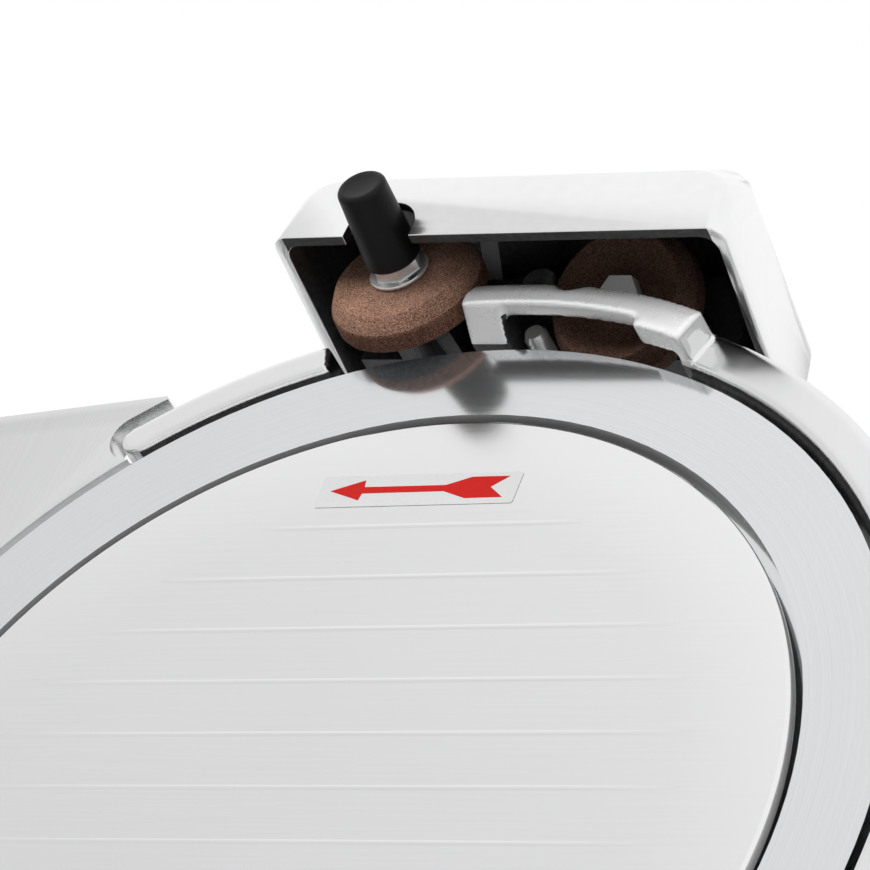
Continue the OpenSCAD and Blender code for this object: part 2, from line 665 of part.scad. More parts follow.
module pusher_arm() color("LightGray") at_push() difference() {
    union() {
        rod_n(sleeve_n0 + flange_t + slide_gap, sleeve_n0 + sleeve_l - flange_t - slide_gap, sleeve_r + 5.5);
        box([8, -8, plate_n + 6], [150, 8, plate_n + 22]);
        box([84, -8, plate_n + 6], [112, 8, plate_n + 36]);
        box([45, -38, plate_n + 6], [61, 40, plate_n + 16]);
        box([134, -38, plate_n + 6], [150, 40, plate_n + 16]);
    }
    rod_n(0, big, sleeve_r + run_fit);
}
module pusher_plate() color("Gainsboro") at_push() {
    translate([100, 1, plate_n]) linear_extrude(6) rrect(110, 86, 12);
    for (i = [-3:3], j = [-2:2]) translate([100 + i * 14, 1 + j * 16, plate_n - 4])
        cylinder(h = 4, r1 = 0.5, r2 = 2.2);
}
module pusher_grip() color([0.1, 0.1, 0.1]) at_push() translate([98, 8, plate_n + 23])
    rotate([-90, 0, 0]) rotate_extrude()
        polygon([[0, 0], [8, 0], [8, 12], [11, 20], [13, 40], [15, 62], [15, 70], [11, 76], [0, 78]]);

// Switch
module switch_panel() color([0.15, 0.15, 0.15]) frame() difference() {
    translate([front_x - 3, (on_y + off_y) / 2, panel_z + 2]) rotate([90, 0, 90])
        linear_extrude(3) rrect(72, 40, 6);
    for (y = [on_y, off_y]) translate([front_x, y, panel_z]) rod_u(-9, 1, button_r + slide_gap);
    translate([front_x, (on_y + off_y) / 2, panel_z + 11]) rod_u(-9, 1, 4 + seat_fit);
}
module push_button(y) frame() translate([front_x, y, panel_z]) {
    rod_u(-9, 8, button_r);
    rod_u(8, 9, button_r + 2);
}
module on_button() color("Green") push_button(on_y);
module off_button() color("Red") push_button(off_y);
module pilot_lens() color("LightGreen") frame() translate([front_x - 3, (on_y + off_y) / 2, panel_z + 11]) {
    rod_u(-2, 3 + base_wall, 4);
    translate([-2, 0, 0]) rotate([0, 90, 0]) sphere(4);
}
module switch_block() color("DimGray") frame() difference() {
    box([front_x + base_wall, (on_y + off_y) / 2 - 34, panel_z - 20],
        [front_x + base_wall + 34, (on_y + off_y) / 2 + 34, panel_z + 19]);
    for (y = [on_y, off_y]) translate([front_x, y, panel_z])
        rod_u(0, 9 + button_travel + 2, button_r + 2 + slide_gap);
    translate([front_x, (on_y + off_y) / 2, panel_z + 11]) rod_u(0, 12, 4 + slide_gap);
}

// Sharpener
// One slice of the hood: drafted side walls with round corners, the right wall closing in by "close".
module hood_slice(inset, top, round, close) for (v = [hood_v0, top - round]) {
    reach = (round + (v - rim_v) * sin(hood_lean)) / cos(hood_lean);
    for (u = [hood_u0 + reach, hood_u1 - close - reach]) translate([u, v]) circle(round - inset);
}
module at_hood() translate([hood_u0, rim_v, 0]) rotate([0, 0, hood_turn])
    translate([-hood_u0, -rim_v, 0]) children();
module hood_solid(inset) at_hood() hull() {
    $fn = 40;
    for (a = [0:30:90]) translate([0, 0, hood_n1 - hood_edge * (1 - sin(a)) - inset - 0.5]) linear_extrude(0.5)
        hood_slice(inset + hood_edge * (1 - cos(a)), hood_top_front + hood_edge * (1 - cos(a)) / 3, 11, 0);
    translate([0, 0, hood_n1 - 16 - inset / 2]) linear_extrude(0.5) hood_slice(inset, hood_top, 14, 1.4);
    translate([0, 0, hood_n0 + inset]) linear_extrude(0.5)
        hood_slice(inset, hood_top - hood_drop, 14, hood_close);
}
module sharpener_hood() color("WhiteSmoke") at_blade() difference() {
    hood_solid(0);
    hood_solid(hood_wall);
    at_hood() translate([-big, rim_v, hood_n1]) rotate([-rim_fall, 0, 0]) translate([0, -big, -big])
        cube([2 * big, big, 2 * big]);
    translate([front_u + 0.7, blade_r + 9.8, hood_n1 - 10]) linear_extrude(20) rrect(19.4, 30.4, 8);
    rear_axis() rod_n(-90, -30, spindle_r + 1.5);
    translate([post_u, clamp_v, 0]) rod_n(hood_n0 - 2, hood_n0 + 8, 3.5);
}
module spindle_bracket() color("LightGray") at_blade() difference() {
    union() {
        box([hood_u0 + 8.5, bracket_v0, bracket_n0], [hood_u1 - 13, bracket_v0 + 10, bracket_n1]);
        box([-46, bracket_v0, bracket_n0], [50, bracket_v1, bracket_n1]);
        box([post_u - 14, bracket_v0, hood_n0 + hood_wall], [post_u + 14, bracket_v1, bracket_n1]);
        intersection() {
            front_axis() rod_n(-40, -front_press - 4.2, 10);
            box([-big, bracket_v0, bracket_n0], [big, big, 0]);
        }
        translate([0.5, blade_r + 7.8, 0]) rod_n(bracket_n0, bracket_n1 + 1, 4);
    }
    translate([post_u, 0, post_n]) rod_v(0, big, post_r + run_fit);
    front_axis() rod_n(-80, 0, spindle_r + run_fit);
    rear_axis() rod_n(-80, 0, spindle_r + run_fit);
    translate([post_u, clamp_v, 0]) rod_n(hood_n0, post_n, 3.5);
}
module clamp_knob() color([0.1, 0.1, 0.1]) at_blade() translate([post_u, clamp_v, 0]) difference() {
    union() {
        rod_n(hood_n0 - 2, post_n - post_r - slide_gap, 3);
        rod_n(hood_n0 - 8, hood_n0 - 2, 9);
        rod_n(hood_n0 - 24, hood_n0 - 8, 15);
    }
    for (a = [0:60:300]) rotate([0, 0, a]) translate([17, 0, 0]) rod_n(hood_n0 - 40, hood_n0 - 8, 4.5);
}
module stone_shape(dish) difference() {
    rotate_extrude()
        polygon([[0, 0], [stone_r, 0], [stone_r, stone_t - 2], [stone_r - 2, stone_t], [0, stone_t]]);
    rod_n(-1, stone_t + 1, spindle_r + run_fit);
    translate([0, 0, stone_t - dish]) cylinder(h = dish + 1, r = 11.5);
}
module front_stone() color([0.42, 0.28, 0.22]) at_blade() front_axis() stone_shape(0);
module rear_stone() color([0.42, 0.28, 0.22]) at_blade() rear_axis()
    translate([0, 0, -stone_t]) stone_shape(4.4);
module front_spindle() color("Gainsboro") at_blade() front_axis() {
    rod_n(-30, 26, spindle_r);
    rod_n(-slide_gap - 3, -slide_gap, collar_r);
    rod_n(stone_t + slide_gap, stone_t + 1.4, collar_r);
    translate([0, 0, stone_t + 1.4]) cylinder(h = nut_t, r = 6.6, $fn = 6);
    rod_n(-31, -30, spindle_r - 1);
}
module push_cap(length) difference() {
    rotate_extrude()
        polygon([[0, 0], [cap_r, 0], [cap_r - 0.8, length - 1.6], [cap_r - 2.4, length - 0.3], [0, length]]);
    rod_n(-1, length - 10, spindle_r + seat_fit);
}
module front_push_cap() color([0.08, 0.08, 0.08]) at_blade() front_axis()
    translate([0, 0, stone_t + 1.4 + nut_t]) push_cap(24);
module rear_spindle() color("Gainsboro") at_blade() rear_axis() {
    rod_n(-67, -0.3, spindle_r);
    rod_n(-stone_t - slide_gap - 3, -stone_t - slide_gap, collar_r);
    translate([0, 0, -4.4 + slide_gap]) cylinder(h = nut_t, r = 6.4, $fn = 6);
}
module rear_push_cap() color([0.08, 0.08, 0.08]) at_blade() rear_axis()
    translate([0, 0, -55]) rotate([180, 0, 0]) push_cap(22);

base_housing();
bottom_plate();
rubber_feet();
foot_screws();
cord_gland();
head_casting();
belt_cover();
case_screws();
slice_deflector();
sharpener_post();
ring_guard();
knife_blade();
blade_screws();
blade_hub();
driven_pulley();
blade_bearings();
blade_cover();
direction_label();
cover_tie_rod();
cover_knob();
motor_case();
motor_stator();
motor_shaft();
motor_fan();
drive_pulley();
drive_belt();
run_capacitor();
gauge_plate();
gauge_bar();
gauge_screws();
cam_roller();
gauge_guide();
thickness_knob();
knob_spindle();
scroll_cam();
carriage_rail();
carriage_slider();
carriage_arm();
food_table();
pusher_rod();
hand_guard();
carriage_handle();
pusher_sleeve();
pusher_arm();
pusher_plate();
pusher_grip();
switch_panel();
on_button();
off_button();
pilot_lens();
switch_block();
sharpener_hood();
spindle_bracket();
clamp_knob();
front_stone();
front_spindle();
front_push_cap();
rear_stone();
rear_spindle();
rear_push_cap();
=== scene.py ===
"""Looks of the food slicer: finishes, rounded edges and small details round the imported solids.

Sizes in the classes are millimetres. Meshes are made in metres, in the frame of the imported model.
"""

import json
import logging
import math
from dataclasses import dataclass
from enum import Enum
from functools import lru_cache
from typing import Callable, Dict, Iterable, List, Optional, Sequence, Tuple

import bmesh
import bpy
from mathutils import Matrix, Vector
from mathutils.bvhtree import BVHTree

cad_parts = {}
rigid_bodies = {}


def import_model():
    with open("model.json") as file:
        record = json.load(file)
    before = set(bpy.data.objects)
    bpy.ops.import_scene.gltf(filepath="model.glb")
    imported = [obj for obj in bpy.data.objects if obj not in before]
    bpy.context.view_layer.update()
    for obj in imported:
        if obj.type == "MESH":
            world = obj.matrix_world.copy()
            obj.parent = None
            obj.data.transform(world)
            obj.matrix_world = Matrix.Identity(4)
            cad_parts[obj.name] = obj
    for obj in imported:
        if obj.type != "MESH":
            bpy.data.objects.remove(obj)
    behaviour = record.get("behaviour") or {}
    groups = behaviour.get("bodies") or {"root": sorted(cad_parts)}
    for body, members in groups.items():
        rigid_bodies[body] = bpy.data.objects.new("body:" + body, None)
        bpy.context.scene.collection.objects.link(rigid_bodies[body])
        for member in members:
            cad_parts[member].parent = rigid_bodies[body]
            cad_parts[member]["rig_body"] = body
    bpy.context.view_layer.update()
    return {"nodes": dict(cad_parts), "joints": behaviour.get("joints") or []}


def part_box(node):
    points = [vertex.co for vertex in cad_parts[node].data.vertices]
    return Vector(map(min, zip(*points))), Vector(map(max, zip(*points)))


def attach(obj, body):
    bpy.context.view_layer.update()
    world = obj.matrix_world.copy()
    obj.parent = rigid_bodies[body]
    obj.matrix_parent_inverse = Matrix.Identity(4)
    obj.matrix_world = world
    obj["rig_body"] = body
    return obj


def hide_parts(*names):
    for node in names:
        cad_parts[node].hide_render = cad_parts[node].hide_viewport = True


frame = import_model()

log = logging.getLogger("slicer")
MM = 0.001
WELD = 2e-6
EDGE_STEPS = 3
QUARTER = [math.radians(15 * i) for i in range(7)]
TONE_LOW, TONE_HIGH = 0.3, 0.7
Colour = Tuple[float, float, float]
Profile = Sequence[Tuple[float, float]]
Tree = bpy.types.NodeTree
Node = bpy.types.Node
Mesh = bpy.types.Mesh
Piece = bpy.types.Object
Shape = bmesh.types.BMesh


def srgb(red: int, green: int, blue: int) -> Colour:
    """A colour given as screen values.

    Args:
        red, green, blue: screen values from 0 to 255.

    Returns:
        The linear colour that a shader socket takes.
    """
    def linear(value: int) -> float:
        """One channel in linear light."""
        part = value / 255
        return part / 12.92 if part <= 0.04045 else ((part + 0.055) / 1.055) ** 2.4

    return linear(red), linear(green), linear(blue)


def joint_frame(name: str) -> Matrix:
    """The frame of a hinge: x along the carriage where it can be, z along the hinge's axis.

    Args:
        name: the hinge's name in the record.

    Returns:
        The frame's matrix, with its origin on the hinge.
    """
    joint = next(j for j in frame["joints"] if j["name"] == name)
    z_axis = Vector(joint["axis"]).normalized()
    side = Vector((1, 0, 0)) if abs(z_axis.x) < 0.9 else Vector((0, 1, 0))
    y_axis = z_axis.cross(side).normalized()
    x_axis = y_axis.cross(z_axis)
    matrix = Matrix((x_axis, y_axis, z_axis)).transposed().to_4x4()
    matrix.translation = Vector(joint["pos_m"])
    return matrix


BLADE = joint_frame("blade_spin")


def at_blade(u: float, v: float, n: float) -> Vector:
    """A point of the tilted blade frame, in metres.

    Args:
        u: along the carriage. v: up the slope. n: out of the food face.

    Returns:
        The point in the model's frame.
    """
    return BLADE @ (Vector((u, v, n)) * MM)


def shifted(seat: Matrix, x: float, y: float, z: float) -> Matrix:
    """A frame moved along its own axes.

    Args:
        seat: the frame. x, y, z: the move in millimetres.

    Returns:
        The moved frame.
    """
    return seat @ Matrix.Translation(Vector((x, y, z)) * MM)


class Texture(Enum):
    """The surface patterns that the finishes use."""

    HAIRLINE = "hairline"
    TURNED = "turned"
    CAST = "cast"
    MOULDED = "moulded"
    GRIT = "grit"
    WOUND = "wound"


def placed(name: str, data: bpy.types.ID) -> Piece:
    """Puts a new object into the scene.

    Args:
        name: its name. data: its mesh, camera or lamp.

    Returns:
        The object.
    """
    made = bpy.data.objects.new(name, data)
    bpy.context.scene.collection.objects.link(made)
    return made


def poured(shape: Shape, mesh: Mesh) -> Mesh:
    """Writes a shape, which is freed, into a mesh and gives the mesh."""
    shape.to_mesh(mesh)
    shape.free()
    return mesh


class Wires:
    """Adds nodes to a tree and links them."""

    def __init__(self, tree: Tree) -> None:
        """Starts on a tree."""
        self.tree = tree

    def fill(self, node: Node, links: Dict) -> None:
        """Sets or links a node's inputs.

        Args:
            node: the node. links: sockets or values for its inputs, by name or place.
        """
        for label, value in links.items():
            socket = node.inputs[label]
            if isinstance(value, bpy.types.NodeSocket):
                self.tree.links.new(value, socket)
            else:
                socket.default_value = value

    def add(self, kind: str, links: Dict, **settings) -> Node:
        """Adds a node.

        Args:
            kind: the node's type. links: sockets or values for its inputs, by name or place.
            settings: properties of the node.

        Returns:
            The node.
        """
        node = self.tree.nodes.new(kind)
        for label, value in settings.items():
            setattr(node, label, value)
        self.fill(node, links)
        return node

    def math(self, operation: str, first, second=0.0, third=0.0) -> bpy.types.NodeSocket:
        """The result of a Math node on sockets or numbers."""
        return self.add("ShaderNodeMath", {0: first, 1: second, 2: third}, operation=operation).outputs[0]

    def noise(self, vector, scale, detail: float = 3.0, dimensions: str = "3D") -> bpy.types.NodeSocket:
        """One Noise node.

        Args:
            vector: the socket with its coordinates, or with W for a 1D noise.
            scale: a socket or a number. detail: octaves of the noise. dimensions: 1D or 3D.

        Returns:
            The value socket, about 0.5 on average.
        """
        place = "W" if dimensions == "1D" else "Vector"
        return self.add("ShaderNodeTexNoise", {place: vector, "Scale": scale, "Detail": detail},
                        noise_dimensions=dimensions).outputs[0]


class Groups:
    """Shader node groups that more than one finish uses, each built once."""

    @staticmethod
    def _start(name: str, values: Dict[str, float], outputs: Sequence[str]) -> Tuple[Wires, Node, Node]:
        """An empty group with its sockets.

        Args:
            name: the group's name. values: name and default of each input after the vector.
            outputs: names of the value outputs.

        Returns:
            The group's wires, its input node and its output node.
        """
        tree = bpy.data.node_groups.new(name, "ShaderNodeTree")
        tree.interface.new_socket("Vector", in_out="INPUT", socket_type="NodeSocketVector")
        for label, value in values.items():
            socket = tree.interface.new_socket(label, in_out="INPUT", socket_type="NodeSocketFloat")
            socket.default_value = value
        for label in outputs:
            tree.interface.new_socket(label, in_out="OUTPUT", socket_type="NodeSocketFloat")
        return Wires(tree), tree.nodes.new("NodeGroupInput"), tree.nodes.new("NodeGroupOutput")

    @staticmethod
    def _close(wires: Wires, end: Node, fine, share: float, cloud, height) -> Tree:
        """Wires the tone and height of a pattern.

        Args:
            wires: the group's wires. end: its output node. fine: the pattern's socket.
            share: the part of the tone that is the pattern's. cloud: the slow change's socket.
            height: the height's socket.

        Returns:
            The group's tree.
        """
        slow = wires.math("MULTIPLY", cloud, 1 - share)
        wires.fill(end, {"Tone": wires.math("MULTIPLY_ADD", fine, share, slow), "Height": height})
        return wires.tree

    @classmethod
    @lru_cache(maxsize=None)
    def hairline(cls) -> Tree:
        """Fine brushed lines along the local x axis, with slow cloudy change across them."""
        wires, start, end = cls._start("brushed_lines", {"Lines per metre": 1500}, ["Tone", "Height"])
        squeeze = wires.add("ShaderNodeMapping", {"Vector": start.outputs[0], "Scale": (0.012, 1, 1)})
        lines = wires.noise(squeeze.outputs[0], start.outputs[1], 4)
        return cls._close(wires, end, lines, 0.55, wires.noise(start.outputs[0], 14, 3), lines)

    @classmethod
    @lru_cache(maxsize=None)
    def turned(cls) -> Tree:
        """Concentric lathe lines round the local z axis."""
        wires, start, end = cls._start("lathe_lines", {"Lines per metre": 1800}, ["Tone", "Height"])
        flat = wires.add("ShaderNodeVectorMath", {0: start.outputs[0], 1: (1, 1, 0)}, operation="MULTIPLY")
        size = wires.add("ShaderNodeVectorMath", {0: flat.outputs[0]}, operation="LENGTH")
        lines = wires.noise(size.outputs["Value"], start.outputs[1], 3, "1D")
        return cls._close(wires, end, lines, 0.5, wires.noise(start.outputs[0], 11, 2), lines)

    @classmethod
    @lru_cache(maxsize=None)
    def grain(cls) -> Tree:
        """The pebbled skin of a casting or a moulding, with slow cloudy change over it."""
        wires, start, end = cls._start("pebbled_skin", {"Grains per metre": 900}, ["Tone", "Height"])
        fine = wires.noise(start.outputs[0], start.outputs[1], 3)
        return cls._close(wires, end, fine, 0.4, wires.noise(start.outputs[0], 22, 4), fine)

    @classmethod
    @lru_cache(maxsize=None)
    def grit(cls) -> Tree:
        """Bonded abrasive grains: a random value for each grain and a rough height."""
        wires, start, end = cls._start("bonded_grit", {"Grains per metre": 1500}, ["Tone", "Height", "Pit"])
        cells = wires.add("ShaderNodeTexVoronoi", {"Vector": start.outputs[0], "Scale": start.outputs[1]})
        split = wires.add("ShaderNodeSeparateColor", {0: cells.outputs["Color"]})
        height = wires.math("SUBTRACT", split.outputs[1], cells.outputs["Distance"])
        wires.fill(end, {"Pit": wires.math("GREATER_THAN", split.outputs[2], 0.86)})
        return cls._close(wires, end, split.outputs[0], 0.72, wires.noise(start.outputs[0], 160, 3), height)

    @classmethod
    @lru_cache(maxsize=None)
    def wear(cls) -> Tree:
        """A mask of rubbed edges: where a rounded normal leaves the true one, broken up by noise."""
        wires, start, end = cls._start("edge_wear", {"Radius": 0.0012, "Amount": 0.5}, ["Mask"])
        rounded = wires.add("ShaderNodeBevel", {"Radius": start.outputs["Radius"]}, samples=4)
        plain = wires.add("ShaderNodeNewGeometry", {})
        dot = wires.add("ShaderNodeVectorMath", {0: rounded.outputs[0], 1: plain.outputs["Normal"]},
                        operation="DOT_PRODUCT")
        edge = wires.math("MULTIPLY", wires.math("SUBTRACT", 1, dot.outputs["Value"]), 7)
        broken = wires.math("MULTIPLY", wires.noise(start.outputs[0], 260, 3), start.outputs["Amount"])
        wires.fill(end, {"Mask": wires.math("MINIMUM", wires.math("MULTIPLY", edge, broken), 1)})
        return wires.tree


@dataclass(frozen=True)
class Finish:
    """One finish: its colours and how its surface is worked.

    low and high are the ends of the colour's change, rough_low and rough_high those of the gloss.
    lines is the count of lines or grains in a metre, depth the height of the pattern in millimetres,
    edge the radius in millimetres to which light sees a sharp edge rounded.
    """

    name: str
    slot: str
    texture: Texture
    low: Colour
    high: Colour
    rough_low: float
    rough_high: float
    lines: float
    depth: float
    metallic: float = 0.0
    wear: float = 0.0
    worn: Colour = (0.9, 0.9, 0.9)
    coat: float = 0.0
    transmission: float = 0.0
    turn: float = 0.0
    centre: Optional[Matrix] = None
    edge: float = 0.0
    specular: float = 0.5

    def build(self) -> bpy.types.Material:
        """Makes the material, or gives the one that is already made.

        Returns:
            The material.
        """
        known = bpy.data.materials.get(self.name)
        if known is not None:
            return known
        made = bpy.data.materials.new(self.name)
        made.use_nodes = True
        wires = Wires(made.node_tree)
        vector = self._coordinates(wires)
        tone, height, pit = self._pattern(wires, vector)
        gloss = wires.add("ShaderNodeMapRange", {"Value": tone, "From Min": TONE_LOW, "From Max": TONE_HIGH,
                                                 "To Min": self.rough_low, "To Max": self.rough_high})
        bump = wires.add("ShaderNodeBump", {"Strength": 1.0, "Distance": self.depth * MM, "Height": height})
        if self.edge > 0:
            soft = wires.add("ShaderNodeBevel", {"Radius": self.edge * MM}, samples=6)
            wires.fill(bump, {"Normal": soft.outputs[0]})
        wires.fill(made.node_tree.nodes["Principled BSDF"], {
            "Base Color": self._colour(wires, vector, tone, pit), "Roughness": gloss.outputs[0],
            "Normal": bump.outputs[0], "Specular IOR Level": self.specular, "Metallic": self.metallic,
            "Coat Weight": self.coat, "Coat Roughness": 0.08, "Transmission Weight": self.transmission,
            "IOR": 1.49})
        made.diffuse_color = (*self.high, 1)
        return made

    def _coordinates(self, wires: Wires) -> bpy.types.NodeSocket:
        """Object coordinates, turned and centred on the worked piece.

        Args:
            wires: the material's wires.

        Returns:
            The socket with the coordinates.
        """
        matrix = (self.centre or Matrix.Identity(4)) @ Matrix.Rotation(math.radians(self.turn), 4, "Z")
        source = wires.add("ShaderNodeTexCoord", {})
        mapping = wires.add("ShaderNodeMapping", {"Vector": source.outputs["Object"]}, vector_type="TEXTURE")
        wires.fill(mapping, {"Location": matrix.translation, "Rotation": matrix.to_euler("XYZ")})
        return mapping.outputs[0]

    def _pattern(self, wires: Wires, vector) -> Tuple:
        """Places the group of this finish's pattern.

        Args:
            wires: the material's wires. vector: the socket with the coordinates.

        Returns:
            The sockets of tone, height and, for grit, pits.
        """
        source = {Texture.HAIRLINE: Groups.hairline, Texture.TURNED: Groups.turned,
                  Texture.CAST: Groups.grain, Texture.MOULDED: Groups.grain, Texture.GRIT: Groups.grit,
                  Texture.WOUND: Groups.hairline}
        group = wires.add("ShaderNodeGroup", {}, node_tree=source[self.texture]())
        wires.fill(group, {0: vector, 1: self.lines})
        return group.outputs["Tone"], group.outputs["Height"], group.outputs.get("Pit")

    def _colour(self, wires: Wires, vector, tone, pit) -> bpy.types.NodeSocket:
        """Mixes the colour: the two ends of the tone, dark pits in grit, and rubbed edges.

        Args:
            wires: the material's wires. vector, tone, pit: sockets of the pattern.

        Returns:
            The colour's socket.
        """
        ramp = wires.add("ShaderNodeValToRGB", {0: tone})
        for stop, place, shade in zip(ramp.color_ramp.elements, (TONE_LOW, TONE_HIGH), (self.low, self.high)):
            stop.position = place
            stop.color = (*shade, 1)
        over = []
        if pit is not None:
            over.append((pit, tuple(0.25 * c for c in self.low)))
        if self.wear > 0:
            group = wires.add("ShaderNodeGroup", {}, node_tree=Groups.wear())
            wires.fill(group, {"Vector": vector, "Amount": self.wear})
            over.append((group.outputs["Mask"], self.worn))
        colour = ramp.outputs[0]
        for mask, shade in over:
            mix = wires.add("ShaderNodeMix", {0: mask, 6: colour, 7: (*shade, 1)}, data_type="RGBA")
            colour = mix.outputs[2]
        return colour


class Finishes:
    """Every finish of the slicer."""

    mirror_blade = Finish("mirror_blade", "blade_steel", Texture.TURNED, (0.7, 0.71, 0.718),
        (0.75, 0.76, 0.77), 0.09, 0.13, 1400, 0.0012, metallic=0.93, centre=BLADE)
    turned_cover = Finish("turned_cover", "polished_aluminium", Texture.HAIRLINE, (0.785, 0.787, 0.789),
        (0.815, 0.817, 0.819), 0.14, 0.2, 2200, 0.0008, metallic=1, centre=BLADE, turn=2.8)
    polished_cast = Finish("polished_cast", "polished_aluminium", Texture.CAST, (0.82, 0.822, 0.825),
        (0.88, 0.882, 0.885), 0.14, 0.24, 260, 0.006, metallic=1, wear=0.2, worn=(0.94, 0.94, 0.94))
    brushed_plate = Finish("brushed_plate", "polished_aluminium", Texture.HAIRLINE, (0.655, 0.657, 0.66),
        (0.715, 0.717, 0.72), 0.2, 0.3, 1800, 0.002, metallic=1, centre=BLADE, turn=90)
    satin_cast = Finish("satin_cast", "cast_aluminium", Texture.CAST, (0.66, 0.665, 0.67),
        (0.78, 0.785, 0.79), 0.3, 0.42, 700, 0.03, metallic=1, wear=0.4)
    # unpolished inner casting skin, its colour darkened well below bare aluminium as painted shade inside the
    # hood
    unpolished_shaded_cast = Finish("unpolished_shaded_cast", "cast_aluminium", Texture.CAST, (0.14, 0.14, 0.141), (0.36, 0.36, 0.362),
        0.3, 0.46, 620, 0.1, metallic=1, edge=0.6)
    # near-black cast colour: painted shade for the ring's hidden faces and bore gap, the hood rim's underside
    # and the bracket inside the hood
    shade_black_cast = Finish("shade_black_cast", "cast_aluminium", Texture.CAST, (0.03, 0.03, 0.03), (0.1, 0.1, 0.101),
        0.35, 0.55, 620, 0.1, metallic=0.8)
    blasted_cast = Finish("blasted_cast", "cast_aluminium", Texture.CAST, (0.90, 0.902, 0.905),
        (0.94, 0.942, 0.945), 0.24, 0.34, 260, 0.0006, metallic=0.42)
    ring_cast = Finish("ring_cast", "polished_aluminium", Texture.CAST, (0.79, 0.792, 0.795),
        (0.83, 0.832, 0.835), 0.16, 0.26, 220, 0.004, metallic=1)
    # pale matt colour on the steel step wall: painted light standing for its reflected grey band
    painted_light_step_wall = Finish("painted_light_step_wall", "blade_steel", Texture.TURNED, (0.82, 0.822, 0.825),
        (0.9, 0.902, 0.905), 0.4, 0.55, 900, 0.002, centre=BLADE)
    # pale streak: painted reflection of the bright blade on the hood's ceiling
    painted_gleam_cast = Finish("painted_gleam_cast", "cast_aluminium", Texture.CAST, (0.82, 0.822, 0.825),
        (0.9, 0.902, 0.905), 0.3, 0.42, 300, 0.01, metallic=0.2)
    # near-black steel; on the spindles behind the front stone it is painted shade
    dark_steel = Finish("dark_steel", "machined_steel", Texture.HAIRLINE, (0.012, 0.012, 0.0125),
        (0.03, 0.03, 0.031), 0.4, 0.55, 2200, 0.004, metallic=0.4, specular=0.2)
    # darker copy of the stone grit: painted shade of the hood over the rear stone
    shade_dark_stone = Finish("shade_dark_stone", "grit_stone", Texture.GRIT, srgb(60, 44, 38), srgb(124, 94, 80), 0.75,
        0.95, 6200, 0.08, specular=0.1)
    # darker copy of the stone grit: painted shade on the front stone's downward side
    shade_dark_side_stone = Finish("shade_dark_side_stone", "grit_stone", Texture.GRIT, srgb(86, 59, 49), srgb(166, 122, 102),
        0.75, 0.95, 6200, 0.08, specular=0.12)
    machined = Finish("machined_steel_finish", "machined_steel", Texture.HAIRLINE, (0.55, 0.555, 0.56),
        (0.7, 0.705, 0.71), 0.16, 0.3, 2600, 0.004, metallic=1)
    plated = Finish("plated_screw_finish", "plated_screws", Texture.CAST, (0.72, 0.72, 0.71),
        (0.82, 0.82, 0.805), 0.14, 0.22, 500, 0.0015, metallic=0.5)
    # near-white matt colour: painted highlight on the rear nut's end
    painted_highlight_end = Finish("painted_highlight_end", "plated_screws", Texture.CAST, (0.88, 0.88, 0.87), (0.95, 0.95, 0.94),
        0.2, 0.3, 500, 0.002, metallic=0.1)
    coated_sheet = Finish("coated_sheet", "sheet_steel", Texture.MOULDED, (0.05, 0.052, 0.055),
        (0.09, 0.092, 0.095), 0.4, 0.55, 1600, 0.03, wear=0.3, worn=(0.3, 0.3, 0.3))
    black_moulding = Finish("black_moulding", "black_plastic", Texture.MOULDED, (0.005, 0.005, 0.0052),
        (0.010, 0.010, 0.0104), 0.34, 0.46, 2600, 0.012, wear=0.08, worn=(0.06, 0.06, 0.06), specular=0.15)
    black_rubber = Finish("black_rubber_finish", "black_rubber", Texture.MOULDED, (0.012, 0.012, 0.012),
        (0.026, 0.026, 0.026), 0.6, 0.8, 1800, 0.03)
    clear_sheet = Finish("clear_sheet", "clear_plastic", Texture.MOULDED, (0.93, 0.96, 0.97),
        (0.96, 0.98, 0.985), 0.02, 0.05, 60, 0.001, transmission=1)
    grit_stone = Finish("grit_stone_finish", "grit_stone", Texture.GRIT, srgb(124, 91, 76),
        srgb(214, 168, 143), 0.75, 0.95, 6200, 0.08, specular=0.15)
    ground_stone = Finish("ground_stone", "grit_stone", Texture.GRIT, srgb(86, 88, 92), srgb(132, 135, 140),
        0.7, 0.9, 6200, 0.05, specular=0.15)
    copper = Finish("copper_winding_finish", "copper_winding", Texture.WOUND, (0.42, 0.16, 0.06),
        (0.62, 0.28, 0.12), 0.25, 0.4, 900, 0.1, metallic=1)
    film = Finish("label_film_finish", "label_film", Texture.MOULDED, srgb(200, 199, 199),
        srgb(210, 209, 209), 0.3, 0.45, 1200, 0.003, specular=0.3)
    red_print = Finish("red_print", "label_film", Texture.MOULDED, srgb(180, 27, 23), srgb(194, 35, 30),
        0.4, 0.5, 900, 0.003, specular=0.15)
    white_print = Finish("white_print", "label_film", Texture.MOULDED, srgb(225, 225, 222),
        srgb(238, 238, 236), 0.4, 0.5, 900, 0.002)
    green_moulding = Finish("green_moulding", "green_plastic", Texture.MOULDED, srgb(16, 120, 52),
        srgb(28, 142, 66), 0.28, 0.4, 2000, 0.008, coat=0.2)
    red_moulding = Finish("red_moulding", "red_plastic", Texture.MOULDED, srgb(168, 22, 20),
        srgb(192, 34, 30), 0.28, 0.4, 2000, 0.008, coat=0.2)
    lens = Finish("lamp_lens_finish", "lamp_lens", Texture.MOULDED, srgb(120, 205, 110),
        srgb(160, 230, 140), 0.05, 0.1, 400, 0.01, transmission=0.4, coat=0.5)


